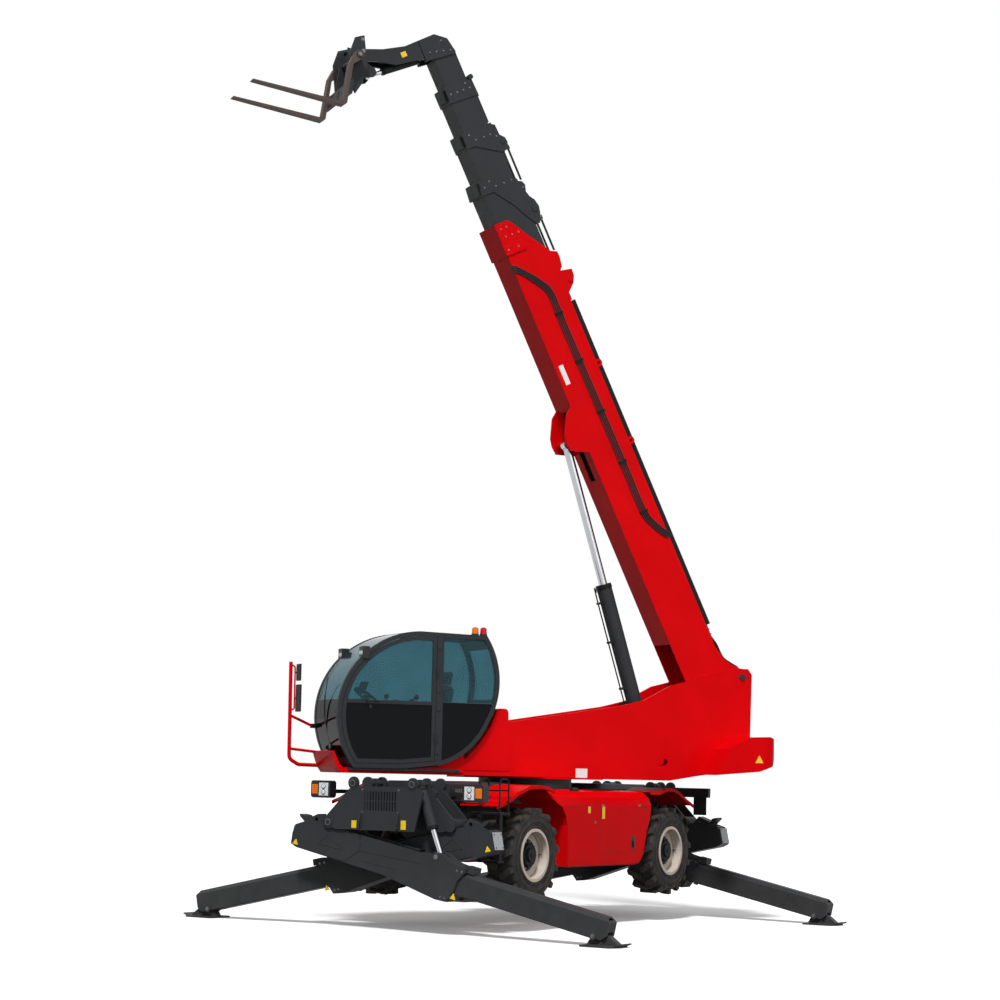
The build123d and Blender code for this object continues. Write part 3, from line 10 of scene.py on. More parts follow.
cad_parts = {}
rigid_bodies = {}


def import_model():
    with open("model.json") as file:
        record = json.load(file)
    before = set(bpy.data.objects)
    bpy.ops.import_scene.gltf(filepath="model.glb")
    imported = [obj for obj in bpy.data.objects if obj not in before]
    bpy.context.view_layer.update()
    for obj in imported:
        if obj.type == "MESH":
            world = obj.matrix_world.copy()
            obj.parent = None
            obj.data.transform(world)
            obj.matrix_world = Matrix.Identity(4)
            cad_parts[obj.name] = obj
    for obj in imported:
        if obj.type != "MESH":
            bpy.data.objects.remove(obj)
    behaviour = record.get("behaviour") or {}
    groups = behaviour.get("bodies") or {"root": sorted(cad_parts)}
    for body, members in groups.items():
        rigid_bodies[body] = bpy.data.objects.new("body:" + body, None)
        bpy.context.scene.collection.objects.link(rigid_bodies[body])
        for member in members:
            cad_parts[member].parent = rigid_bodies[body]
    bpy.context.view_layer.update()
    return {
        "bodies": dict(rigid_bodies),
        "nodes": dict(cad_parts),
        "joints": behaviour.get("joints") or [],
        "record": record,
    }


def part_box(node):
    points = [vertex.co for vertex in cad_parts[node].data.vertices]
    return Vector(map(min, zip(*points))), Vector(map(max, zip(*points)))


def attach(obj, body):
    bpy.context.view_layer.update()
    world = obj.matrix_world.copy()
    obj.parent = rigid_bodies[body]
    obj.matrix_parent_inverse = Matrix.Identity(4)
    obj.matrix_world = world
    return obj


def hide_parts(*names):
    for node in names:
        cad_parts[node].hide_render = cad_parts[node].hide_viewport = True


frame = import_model()
NODES = frame["nodes"]

# the pose that the photograph shows
SLEW = math.radians(-34.5)              # upper structure about the slew axis
LIFT = math.radians(63.7)               # boom above the horizontal
PITCH = math.radians(7.5)               # forks above the horizontal
LIFT_PIN = (-3.105, 0, 3.323)           # boom's pin on the upper structure
NECK_PIN = (9.788, 0, -1.643)           # carriage's pin on the boom

CHASSIS = Matrix.Identity(4)
REAR = Matrix.Rotation(math.pi, 4, "Z")     # the chassis, turned to face its rear
TURRET = Matrix.Rotation(SLEW, 4, "Z")
BOOM = TURRET @ Matrix.Translation(LIFT_PIN) @ Matrix.Rotation(-LIFT, 4, "Y")
CARRIAGE = (Matrix.Translation(BOOM @ Vector(NECK_PIN)) @ TURRET
            @ Matrix.Rotation(-PITCH, 4, "Y"))


# ---------------------------------------------------------------- materials
DUST = (0.20, 0.18, 0.15, 1.0)
GRIME = (0.08, 0.07, 0.06, 1.0)
PAINTED_REFLECTION_BLACK = (0.002, 0.003, 0.004, 1.0)       # painted dark reflection: the black painted on a pane below a height


def srgb(r, g, b):
    """Linear colour from 0-255 display values."""
    linear = (((c / 255 + 0.055) / 1.055) ** 2.4 if c > 10 else c / 255 / 12.92
              for c in (r, g, b))
    return tuple(linear) + (1.0,)


def darker(colour, share):
    """A share of a colour, with full alpha."""
    return tuple(c * share for c in colour[:3]) + (1.0,)


class Nodes:
    """Small helper that builds one node material."""

    def __init__(self, name):
        self.mat = bpy.data.materials.new(name)
        self.mat.use_nodes = True
        self.tree = self.mat.node_tree
        self.bsdf = self.tree.nodes["Principled BSDF"]
        self.coords = self.add("ShaderNodeTexCoord").outputs["Object"]

    def add(self, kind, **values):
        node = self.tree.nodes.new(kind)
        for key, value in values.items():
            if key in node.inputs:
                node.inputs[key].default_value = value
            else:
                setattr(node, key, value)
        return node

    def link(self, a, b):
        self.tree.links.new(a, b)

    def plug(self, value, socket):
        """Links an output to a socket, or sets the socket to a constant."""
        if isinstance(value, bpy.types.NodeSocket):
            self.link(value, socket)
        else:
            socket.default_value = value

    def shader(self, name, value):
        self.plug(value, self.bsdf.inputs[name])

    def noise(self, scale, detail=4.0, rough=0.55):
        node = self.add("ShaderNodeTexNoise", Scale=scale, Detail=detail, Roughness=rough)
        self.link(self.coords, node.inputs["Vector"])
        return node.outputs["Fac"]

    def grey(self, value, low, high, start=0.3, end=0.7):
        """Grey from low to high while the value goes from start to end."""
        node = self.add("ShaderNodeValToRGB")
        for element, place, level in zip(node.color_ramp.elements, (start, end), (low, high)):
            element.position = place
            element.color = (level, level, level, 1.0)
        self.link(value, node.inputs["Fac"])
        return node.outputs["Color"]

    def mix(self, factor, a, b):
        node = self.add("ShaderNodeMix", data_type="RGBA")
        for value, socket in zip((factor, a, b), (0, 6, 7)):
            self.plug(value, node.inputs[socket])
        return node.outputs[2]

    def drift(self, scale, colour, share):
        """A colour that drifts to a darker share of itself."""
        return self.mix(self.grey(self.noise(scale), 0.0, 1.0), colour, darker(colour, share))

    def math(self, kind, a, b):
        node = self.add("ShaderNodeMath", operation=kind)
        self.plug(a, node.inputs[0])
        self.plug(b, node.inputs[1])
        return node.outputs[0]

    def map_height(self, **limits):
        """A value that follows the height above the ground."""
        split = self.add("ShaderNodeSeparateXYZ")
        self.link(self.coords, split.inputs[0])
        node = self.add("ShaderNodeMapRange")
        for key, value in limits.items():
            node.inputs[key.replace("_", " ").title()].default_value = value
        self.link(split.outputs["Z"], node.inputs["Value"])
        return node.outputs["Result"]

    def bump(self, height, strength, distance):
        node = self.add("ShaderNodeBump", Strength=strength, Distance=distance)
        self.link(height, node.inputs["Height"])
        self.shader("Normal", node.outputs["Normal"])

    def edge(self, start=0.53, end=0.62):
        """1 on sharp outer edges."""
        geometry = self.add("ShaderNodeNewGeometry")
        return self.grey(geometry.outputs["Pointiness"], 0.0, 1.0, start, end)


def paint(name, colour, worn, rough, coat, dust, shine=0.4, dust_top=1.2):
    """Sprayed paint: colour drift, orange peel, dust that thins upward, worn edges."""
    m = Nodes(name)
    speck = m.grey(m.noise(60.0, 6.0), 0.0, 1.0, 0.62, 0.8)
    body = m.mix(m.math("MULTIPLY", m.edge(), speck), m.drift(1.3, colour, 0.86), worn)
    ground = m.map_height(from_min=0.0, from_max=dust_top, to_min=dust, to_max=dust * 0.12)
    dirt = m.math("MULTIPLY", ground, m.grey(m.noise(5.0, 8.0), 0.25, 1.0))
    m.shader("Base Color", m.mix(dirt, body, DUST))
    m.shader("Roughness", m.math("ADD", m.grey(m.noise(9.0), rough - 0.06, rough + 0.08),
                                 m.math("MULTIPLY", dirt, 0.5)))
    m.bump(m.noise(260.0, 2.0), 0.05, 0.0006)
    m.shader("Specular IOR Level", shine)
    m.shader("IOR", 1.25)
    m.shader("Coat Weight", coat)
    m.shader("Coat Roughness", 0.12)
    return m.mat


def metal(name, colour, rough, grime=0.15):
    """Bare metal with fine scratches and light grime."""
    m = Nodes(name)
    dirt = m.grey(m.noise(7.0, 6.0), 0.0, grime, 0.45, 0.8)
    m.shader("Base Color", m.mix(dirt, colour, GRIME))
    m.shader("Metallic", 1.0)
    m.shader("Roughness", m.grey(m.noise(40.0, 5.0), rough * 0.7, rough * 1.4))
    m.bump(m.noise(500.0, 2.0), 0.04, 0.0003)
    return m.mat


def plastic(name, colour, rough, grain=700.0, strength=0.15):
    """Moulded plastic or rubber with a fine grain."""
    m = Nodes(name)
    m.shader("Base Color", m.drift(6.0, colour, 0.75))
    m.shader("Roughness", m.grey(m.noise(30.0), rough - 0.08, rough + 0.1))
    m.shader("Specular IOR Level", 0.25)
    m.bump(m.noise(grain, 2.0), strength, 0.0005)
    return m.mat


def tyre_rubber(name, colour, dusty):
    """Rubber with dust in patches and on the edges of its lugs."""
    m = Nodes(name)
    patches = m.grey(m.noise(9.0, 8.0), 0.0, 0.35, 0.45, 0.75)
    lugs = m.math("MULTIPLY", m.edge(0.5, 0.56), 0.5)
    m.shader("Base Color", m.mix(m.math("ADD", patches, lugs), colour, dusty))
    m.shader("Roughness", m.grey(m.noise(14.0), 0.6, 0.85))
    m.shader("Specular IOR Level", 0.2)
    m.bump(m.noise(160.0, 6.0), 0.25, 0.002)
    return m.mat


def tinted(name, colour, see, painted_black_below):
    """Tinted pane, painted black below a height as a painted dark reflection."""
    m = Nodes(name)
    # painted dark reflection: below the height the pane is painted black and lets no light through
    clear = m.map_height(from_min=painted_black_below - 0.004, from_max=painted_black_below + 0.004)
    m.shader("Base Color", m.mix(clear, PAINTED_REFLECTION_BLACK, m.drift(4.0, colour, 0.85)))
    m.shader("Roughness", m.grey(m.noise(3.0, 2.0), 0.02, 0.05))
    m.shader("Transmission Weight", m.math("MULTIPLY", clear, see))
    m.shader("IOR", 1.12)
    return m.mat


def fabric(name, colour):
    """Woven cloth."""
    m = Nodes(name)
    wave = m.add("ShaderNodeTexWave", Scale=120.0, Distortion=0.4)
    m.link(m.coords, wave.inputs["Vector"])
    m.shader("Base Color", m.drift(12.0, colour, 0.7))
    m.shader("Roughness", 0.9)
    m.shader("Sheen Weight", 0.3)
    m.bump(wave.outputs["Fac"], 0.3, 0.0008)
    return m.mat


RED = paint("RedPaint", srgb(212, 3, 9), srgb(120, 8, 12),
            rough=0.34, coat=0.02, dust=0.02, shine=0.04)
GREY = paint("AnthracitePaint", srgb(50, 52, 55), srgb(100, 99, 97),
             rough=0.42, coat=0.03, dust=0.12, shine=0.15)
BLACK = paint("BlackPaint", srgb(24, 25, 27), srgb(70, 68, 66),
              rough=0.42, coat=0.03, dust=0.1, shine=0.15)
CAB = paint("CabPaint", srgb(46, 49, 52), srgb(90, 90, 90),
            rough=0.4, coat=0.03, dust=0.04, shine=0.15)
FORK = paint("ForkPaint", srgb(84, 72, 68), srgb(130, 100, 84),
             rough=0.5, coat=0.03, dust=0.12, shine=0.2, dust_top=30.0)
RIM = paint("RimPaint", srgb(198, 186, 174), srgb(120, 112, 104),
            rough=0.45, coat=0.05, dust=0.3, shine=0.3)
YELLOW = paint("YellowPlate", srgb(240, 200, 20), srgb(200, 160, 20),
               rough=0.35, coat=0.3, dust=0.05)
LABEL = paint("BlankLabel", srgb(232, 232, 228), srgb(190, 190, 186),
              rough=0.4, coat=0.1, dust=0.05)
PLATE = paint("PalePlate", srgb(166, 170, 172), srgb(130, 130, 128),
              rough=0.4, coat=0.1, dust=0.1)
CHROME = metal("ChromeRod", (0.40, 0.41, 0.43, 1.0), rough=0.18)
STEEL = metal("PlainSteel", (0.13, 0.13, 0.14, 1.0), rough=0.45, grime=0.4)
MIRROR = metal("MirrorGlass", (0.6, 0.62, 0.64, 1.0), rough=0.05)
ENGINE = metal("CastIron", (0.12, 0.12, 0.12, 1.0), rough=0.6, grime=0.6)
PLASTIC = plastic("BlackPlastic", (0.010, 0.010, 0.011, 1.0), rough=0.5)
RUBBER = plastic("HoseRubber", (0.016, 0.016, 0.018, 1.0), rough=0.62, grain=300.0, strength=0.2)
AMBER = plastic("AmberLens", srgb(240, 120, 10), rough=0.25)
LENS_RED = plastic("RedLens", srgb(190, 16, 20), rough=0.25)
LENS_CLEAR = plastic("ClearLens", srgb(225, 228, 230), rough=0.12)
TYRE = tyre_rubber("TyreRubber", (0.008, 0.008, 0.009, 1.0), (0.06, 0.05, 0.04, 1.0))
# the panes are painted black below 2.81 m, a painted dark reflection
GLASS = tinted("TintedGlass", srgb(112, 158, 168), see=0.92, painted_black_below=2.81)
SEAT = fabric("CushionFabric", srgb(52, 52, 56))


def dress(material, *names):
    """Gives CAD nodes a material, by name or by the start of their names."""
    for name, node in NODES.items():
        if name.startswith(names):
            node.data.materials.clear()
            node.data.materials.append(material)


dress(GREY, "chassis_frame", "axles", "knuckle", "leg_box", "leg_beam", "leg_foot", "leg_barrel",
      "boom_second", "boom_third", "boom_fourth", "boom_head", "lift_barrel", "tilt_barrel",
      "fork_carriage")
dress(RED, "side_bodies", "turret_frame", "service_covers", "counterweight", "guard_rail",
      "boom_base")
dress(BLACK, "access_ladder", "hose_tray")
dress(CAB, "cab_shell", "cab_door")
dress(GLASS, "cab_glass", "door_glass")
dress(PLASTIC, "cab_console", "lamps")
dress(SEAT, "cab_seat")
dress(CHROME, "leg_rod", "lift_rod", "tilt_rod")
dress(FORK, "forks")
dress(RIM, "rim_")
dress(TYRE, "tyre_")
dress(ENGINE, "engine_block")


# ------------------------------------------------------------ small solids
def frame_of(origin, x_axis, z_axis):
    """Matrix of a frame from its origin, x axis and z axis."""
    x, z = Vector(x_axis).normalized(), Vector(z_axis).normalized()
    return Matrix.Translation(origin) @ Matrix((x, z.cross(x), z)).transposed().to_4x4()


def side_plane(carrier, origin, face=1):
    """Frame on a carrier's side: x forward, z outward, so y is down where face is 1."""
    return carrier @ frame_of(origin, (1, 0, 0), (0, face, 0))


def across(side, near, far):
    """The two ends along y of a box that lies between two distances on one side."""
    return sorted((side * near, side * far))


def circle(count, radius, z):
    """Places on a circle about a frame's z axis."""
    turns = [2 * math.pi * i / count for i in range(count)]
    return [(radius * math.cos(a), radius * math.sin(a), z) for a in turns]


def add_object(name, mesh):
    obj = bpy.data.objects.new(name, mesh)
    bpy.context.scene.collection.objects.link(obj)
    return obj


def smooth_path(points, steps, closed=False):
    """Points of a line through the given ones, curved at its bends (Catmull-Rom)."""
    if len(points) < 3 and not closed:
        return points
    way = []
    count = len(points)
    for i in range(count if closed else count - 1):
        p1, p2 = points[i], points[(i + 1) % count]
        p0 = points[i - 1] if closed or i else p1
        p3 = points[(i + 2) % count] if closed or i + 2 < count else p2
        for k in range(steps):
            t = k / steps
            way.append(0.5 * (2 * p1 + (p2 - p0) * t + (2 * p0 - 5 * p1 + 4 * p2 - p3) * t * t
                              + (3 * p1 - p0 - 3 * p2 + p3) * t ** 3))
    if not closed:
        way.append(points[-1])
    return way


class Piece:
    """Gathers small solids in one mesh that rides on a CAD body."""

    def __init__(self, name, body, material):
        self.name, self.body, self.material = name, body, material
        self.bm = bmesh.new()

    def box(self, frame, x, y, z):
        """A box between its two ends along each axis of a frame."""
        size = Matrix.Diagonal((x[1] - x[0], y[1] - y[0], z[1] - z[0], 1))
        middle = Matrix.Translation([(a + b) / 2 for a, b in (x, y, z)])
        bmesh.ops.create_cube(self.bm, size=1, matrix=frame @ middle @ size)

    def rod(self, frame, start, end, radius, sides=20, tip=None):
        """A round bar between two places of a frame; tip is its radius at the end."""
        start, end = frame @ Vector(start), frame @ Vector(end)
        turn = (end - start).to_track_quat("Z", "Y").to_matrix().to_4x4()
        bmesh.ops.create_cone(self.bm, cap_ends=True, segments=sides, radius1=radius,
                              radius2=radius if tip is None else tip,
                              depth=(end - start).length,
                              matrix=Matrix.Translation((start + end) / 2) @ turn)

    def disc(self, frame, centre, radius, thick, sides=24, tip=None):
        """A round head standing on a place of a frame along its z axis."""
        base = frame @ Vector(centre)
        out = (frame.to_3x3() @ Vector((0, 0, 1))).normalized()
        self.rod(CHASSIS, base, base + out * thick, radius, sides, tip)

    def hexes(self, frame, places, size, height):
        """Washers with hexagon heads on places of a frame, along its z axis."""
        for x, y, z in places:
            self.disc(frame, (x, y, z - 0.001), size * 1.35, 0.003, 16)
            self.disc(frame, (x, y, z), size, height, 6, size * 0.94)

    def side_hexes(self, carrier, y, face, places, size, height):
        """The same on a carrier's side, a distance y out, at places along and up."""
        plane = side_plane(carrier, (0, face * y, 0), face)
        self.hexes(plane, [(x, -face * z, 0) for x, z in places], size, height)

    def prism(self, frame, points, low, high):
        """An outline in a frame's x-z plane, between two offsets along its y axis."""
        front = [self.bm.verts.new(frame @ Vector((x, low, z))) for x, z in points]
        back = [self.bm.verts.new(frame @ Vector((x, high, z))) for x, z in points]
        self.bm.faces.new(front)
        self.bm.faces.new(reversed(back))
        for i in range(len(points)):
            j = (i + 1) % len(points)
            self.bm.faces.new((front[i], back[i], back[j], front[j]))

    def tube(self, frame, points, radius, sides=8, steps=5, closed=False):
        """A tube along places of a frame, rounded at its bends."""
        way = smooth_path([frame @ Vector(p) for p in points], steps, closed)
        turns = [2 * math.pi * k / sides for k in range(sides)]
        rings = []
        normal = None
        count = len(way)
        for i, place in enumerate(way):
            after = way[(i + 1) % count] if closed else way[min(i + 1, count - 1)]
            before = way[i - 1] if closed or i else place
            along = (after - before).normalized()
            if normal is None:
                normal = along.orthogonal().normalized()
            normal = (normal - along * normal.dot(along)).normalized()
            other = along.cross(normal)
            rings.append([self.bm.verts.new(place + radius * (math.cos(t) * normal
                                                              + math.sin(t) * other))
                          for t in turns])
        for i in range(count if closed else count - 1):
            a, b = rings[i], rings[(i + 1) % count]
            for k in range(sides):
                m = (k + 1) % sides
                self.bm.faces.new((a[k], a[m], b[m], b[k]))
        if not closed:
            self.bm.faces.new(reversed(rings[0]))
            self.bm.faces.new(rings[-1])

    def done(self, bevel=0.0015):
        """Makes the object, with its edges rounded, and puts it on its body."""
        bmesh.ops.recalc_face_normals(self.bm, faces=self.bm.faces)
        mesh = bpy.data.meshes.new(self.name)
        self.bm.to_mesh(mesh)
        self.bm.free()
        mesh.materials.append(self.material)
        mesh.shade_smooth()
        mesh.set_sharp_from_angle(angle=math.radians(35))
        obj = add_object(self.name, mesh)
        if bevel:
            edge = obj.modifiers.new("Edge", "BEVEL")
            edge.width, edge.segments, edge.limit_method = bevel, 2, "ANGLE"
            edge.angle_limit = math.radians(40)
            edge.harden_normals = True
        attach(obj, self.body)


# ------------------------------------------------------------------ wheels
WHEELS = {"front_left": (1, 1), "front_right": (1, -1),         # end and side
          "rear_left": (-1, 1), "rear_right": (-1, -1)}
WHEEL_X, WHEEL_Y, WHEEL_Z = 1.7575, 1.072, 0.939
# rings about the axle: radius and place out along it, and for the tyre their thickness
RIM_BEADS = ((0.296, 0.186), (0.293, 0.150), (0.290, 0.095))
TYRE_RINGS = ((0.352, 0.1935, 0.007), (0.425, 0.2015, 0.005), (0.495, 0.1925, 0.006))


def dress_wheel(name, end, side):
    """Hub, nuts, rim beads, valve and raised rings of one wheel; z points out of the wheel."""
    wheel = frame_of((end * WHEEL_X, side * WHEEL_Y, WHEEL_Z), (-side, 0, 0), (0, side, 0))
    body = "wheel_" + name
    hub = Piece("Hub_" + name, body, BLACK)
    hub.disc(wheel, (0, 0, 0.060), 0.196, 0.014, 48)
    hub.disc(wheel, (0, 0, 0.074), 0.150, 0.052, 40, 0.140)
    hub.disc(wheel, (0, 0, 0.126), 0.095, 0.030, 32, 0.085)
    hub.disc(wheel, (0, 0, 0.156), 0.030, 0.010, 6)
    for place in circle(20, 0.128, 0.126):
        hub.disc(wheel, place, 0.006, 0.006, 12)
    hub.done()
    nuts = Piece("WheelNuts_" + name, body, STEEL)
    nuts.hexes(wheel, circle(10, 0.172, 0.074), 0.016, 0.022)
    nuts.done()
    beads = Piece("RimBead_" + name, body, RIM)
    for radius, z in RIM_BEADS:
        beads.tube(wheel, circle(48, radius, z), 0.005, 6, 1, closed=True)
    beads.done(0)
    valve = Piece("Valve_" + name, body, RUBBER)
    valve.rod(wheel, (0.27, 0, 0.085), (0.262, 0, 0.135), 0.007, 12, 0.005)
    valve.done()
    wall = Piece("TyreWall_" + name, body, TYRE)
    for radius, z, thick in TYRE_RINGS:
        wall.tube(wheel, circle(72, radius, z), thick, 6, 1, closed=True)
    wall.done(0)


# -------------------------------------------------------------- outriggers
LEGS = (("front_left", 1, 0, 1), ("front_right", 1, 1, -1),     # end, row and foot side
        ("rear_right", -1, 0, -1), ("rear_left", -1, 1, 1))
LEG_X = (2.985, 2.685)                  # inner face of the legs in each row
LEG_HALF = 0.125                        # half a leg box's width
LEG_SLOPE = math.radians(12.0)
LEG_PIVOT = (0.800, 1.295)              # leg's pin: across and up
RAM_PIVOT = (0.440, 1.780)              # outrigger cylinder's pin: across and up
RAM_EYE = (1.625, -0.030)               # outrigger cylinder's eye: along the leg and up
LEG_TAIL = -0.552                       # upper end of the leg box, along it
# weld beads: distance from the leg's middle, and points along and up
LEG_BEADS = ((0.1252, ((0.007, -0.156), (-0.110, -0.298), (0.275, -0.283), (0.007, -0.156))),
             (0.1192, ((0.518, -0.231), (1.489, -0.148))),
             (0.1192, ((0.560, -0.340), (1.080, -0.318))))


def leg_frame(end, row, foot_side):
    """Leg pivot: x out and down along the leg, z square to it and up."""
    across_leg, up_leg = math.cos(LEG_SLOPE), math.sin(LEG_SLOPE)
    return frame_of((end * (LEG_X[row] + LEG_HALF), -foot_side * LEG_PIVOT[0], LEG_PIVOT[1]),
                    (0, foot_side * across_leg, -up_leg), (0, foot_side * up_leg, across_leg))


def dress_leg_box(name, leg, outward):
    """Weld beads, bolts, signs, end plate and hoses of one leg box."""
    body = "leg_" + name
    lines = Piece("LegBeads_" + name, body, GREY)
    for face in (1, -1):
        for y, points in LEG_BEADS:
            for (u0, w0), (u1, w1) in zip(points, points[1:]):
                lines.rod(leg, (u0, y * face, w0), (u1, y * face, w1), 0.005, 8)
    lines.done(0)
    bolts = Piece("LegBolts_" + name, body, STEEL)
    for face in (1, -1):
        bolts.side_hexes(leg, LEG_HALF, face, ((1.96, -0.110), (2.03, -0.110),
                                               (1.80, -0.470), (1.86, -0.470)), 0.010, 0.008)
        eye = side_plane(leg, (RAM_EYE[0], face * LEG_HALF, RAM_EYE[1]), face)
        bolts.disc(eye, (0, 0, 0.001), 0.030, 0.003)
    bolts.done()
    signs = Piece("LegSigns_" + name, body, YELLOW)
    for u, w in ((-0.500, -0.395), (1.935, -0.455)):
        signs.prism(leg, ((u, w), (u + 0.080, w), (u + 0.040, w + 0.070)),
                    outward * 0.1185, outward * 0.1262)
    signs.done(0)
    plate = Piece("LegEndPlate_" + name, body, PLATE)
    plate.box(leg, (LEG_TAIL, LEG_TAIL + 0.011), (-0.098, 0.098), (-0.392, -0.178))
    plate.done(0.004)
    studs = Piece("LegEndStuds_" + name, body, STEEL)
    tail = leg @ frame_of((LEG_TAIL, 0, 0), (0, 1, 0), (-1, 0, 0))      # y points down
    studs.hexes(tail, [(y, -w, 0) for y in (-0.075, 0.075) for w in (-0.365, -0.205)],
                0.009, 0.007)
    studs.done()
    hoses = Piece("LegHoses_" + name, body, RUBBER)
    for y in (-0.030, 0.0, 0.030):
        hoses.tube(leg, ((0.16, y, -0.030), (0.50, y * 1.2, -0.028), (0.95, y * 0.8, -0.029),
                         (1.34, y, -0.030)), 0.011)
    hoses.done(0)
    clips = Piece("LegClips_" + name, body, BLACK)
    for u in (0.18, 0.62, 1.06, 1.33):
        clips.box(leg, (u - 0.014, u + 0.014), (-0.055, 0.055), (-0.046, -0.014))
    clips.done()


def dress_leg(name, end, row, foot_side):
    """Small parts of one outrigger's box, beam and cylinder."""
    leg = leg_frame(end, row, foot_side)
    dress_leg_box(name, leg, -foot_side * end)
    beam = Piece("BeamScrews_" + name, "beam_" + name, STEEL)
    for face in (1, -1):
        beam.side_hexes(leg, 0.110, face, ((3.923, -0.371),), 0.020, 0.010)
    beam.done()
    eye = leg @ Vector((RAM_EYE[0], 0, RAM_EYE[1]))
    top = Vector((end * (LEG_X[row] + LEG_HALF), foot_side * RAM_PIVOT[0], RAM_PIVOT[1]))
    ram = frame_of(top, eye - top, Vector((1, 0, 0)).cross(eye - top))
    gland = Piece("RamGland_" + name, "ram_" + name, BLACK)
    gland.rod(ram, (0.535, 0, 0), (0.577, 0, 0), 0.067, 32, 0.064)
    gland.rod(ram, (0.060, 0, 0), (0.085, 0, 0), 0.066, 32)
    barrel = -foot_side * 0.066         # barrel's skin on the side where its pipe lies
    gland.tube(ram, ((0.12, 0, barrel * 1.12), (0.20, 0, barrel * 1.20),
                     (0.42, 0, barrel * 1.20), (0.50, 0, barrel * 1.12)), 0.008)
    for x in (0.12, 0.50):
        gland.box(ram, (x - 0.018, x + 0.018), (-0.020, 0.020),
                  sorted((barrel * 0.90, barrel * 1.22)))
    gland.done()


# ----------------------------------------------------------------- chassis
PLATE_X = 3.268                         # front face of the cross plates
SKIN_Y = 1.2195                         # outer face of the side bodies
VALVE_X = [2.40 + 0.04 * i for i in range(5)]      # valves on a block, and their hoses


def dress_cross_plates():
    """Bolts and pin caps on the cross plates at both ends."""
    bolts = Piece("PlateBolts", "chassis", STEEL)
    pins = Piece("PlatePins", "chassis", PLASTIC)
    for half in (CHASSIS, REAR):
        face = half @ frame_of((PLATE_X, 0, 0), (0, 1, 0), (1, 0, 0))
        bolts.hexes(face, [(y, z, 0) for y in (-0.30, 0.24) for z in (1.43, 1.705)],
                    0.010, 0.007)
        for y, z in ((-LEG_PIVOT[0], LEG_PIVOT[1]), (-RAM_PIVOT[0], RAM_PIVOT[1]), RAM_PIVOT):
            bolts.disc(face, (y, z, 0.015), 0.040, 0.004, 32)
            pins.disc(face, (y, z, 0.0185), 0.031, 0.004, 32)
            pins.hexes(face, [(y, z, 0.022)], 0.010, 0.006)
    bolts.done()
    pins.done(0.001)


def dress_side_bodies():
    """Blank labels, door seams, locks, handles, filler caps and treads."""
    labels = Piece("BlankLabels", "chassis", YELLOW)
    for y, z in (((-0.450, -0.375), (1.235, 1.325)), ((0.285, 0.360), (1.235, 1.345))):
        labels.box(CHASSIS, (PLATE_X, PLATE_X + 0.0015), y, z)
    for x, z in (((0.337, 0.395), (1.452, 1.535)), ((-0.032, 0.032), (1.377, 1.535))):
        labels.box(CHASSIS, x, (SKIN_Y, SKIN_Y + 0.0017), z)
    labels.box(CHASSIS, (2.22, 2.32), (0.5595, 0.5612), (1.64, 1.76))
    labels.done(0)
    seams = Piece("DoorSeams", "chassis", BLACK)
    locks = Piece("DoorLocks", "chassis", STEEL)
    for side in (1, -1):
        for x, z in (((0.076, 0.081), (0.925, 1.545)), ((-1.085, 0.081), (0.922, 0.927)),
                     ((-1.21, 0.93), (1.545, 1.550)), ((0.905, 0.910), (0.80, 1.32))):
            seams.box(CHASSIS, x, across(side, 1.2196, 1.2206), z)
        lock = side_plane(CHASSIS, (0.222, side * 1.2200, 1.332), side)
        locks.disc(lock, (0, 0, 0), 0.020, 0.006)
        locks.disc(lock, (0, 0, 0.006), 0.011, 0.008, 20)
        locks.box(CHASSIS, (0.205, 0.239), across(side, 1.228, 1.236), (1.328, 1.336))
        for x in (-0.95, 0.02):
            locks.box(CHASSIS, (x - 0.03, x + 0.03), across(side, SKIN_Y, 1.2260),
                      (1.535, 1.560))
    seams.done(0)
    locks.done()
    handle = Piece("RecessHandle", "chassis", PLASTIC)
    for side in (1, -1):
        handle.prism(CHASSIS, ((-0.842, 0.978), (-0.742, 0.978), (-0.742, 1.120),
                               (-0.765, 1.160), (-0.820, 1.160), (-0.842, 1.120)),
                     side * SKIN_Y, side * 1.2225)
        handle.prism(CHASSIS, ((-0.820, 1.000), (-0.790, 1.000), (-0.768, 1.075),
                               (-0.785, 1.085)), side * 1.2215, side * 1.2400)
    handle.done(0.001)
    caps = Piece("FillerCaps", "chassis", PLASTIC)
    for x, y, z in ((0.42, 1.02, 1.731), (-0.35, -0.98, 1.732), (0.25, -0.98, 1.732)):
        caps.disc(CHASSIS, (x, y, z), 0.062, 0.022, 32)
        caps.disc(CHASSIS, (x, y, z + 0.022), 0.052, 0.020, 12, 0.046)
    caps.done(0.003)
    pads = Piece("StepPads", "chassis", RUBBER)
    ribs = 12
    for x0, x1, y, z in ((-0.95, -0.25, (0.72, 0.96), 1.7435),
                         (-0.95, -0.55, (-0.96, -0.72), 1.7435),
                         (1.05, 1.75, (-0.22, 0.22), 1.8195),
                         (-1.75, -1.05, (-0.22, 0.22), 1.8195)):
        for i in range(ribs):
            x = x0 + (x1 - x0) * (i + 0.15) / ribs
            pads.box(CHASSIS, (x, x + (x1 - x0) * 0.7 / ribs), y, (z, z + 0.005))
    pads.done(0.001)


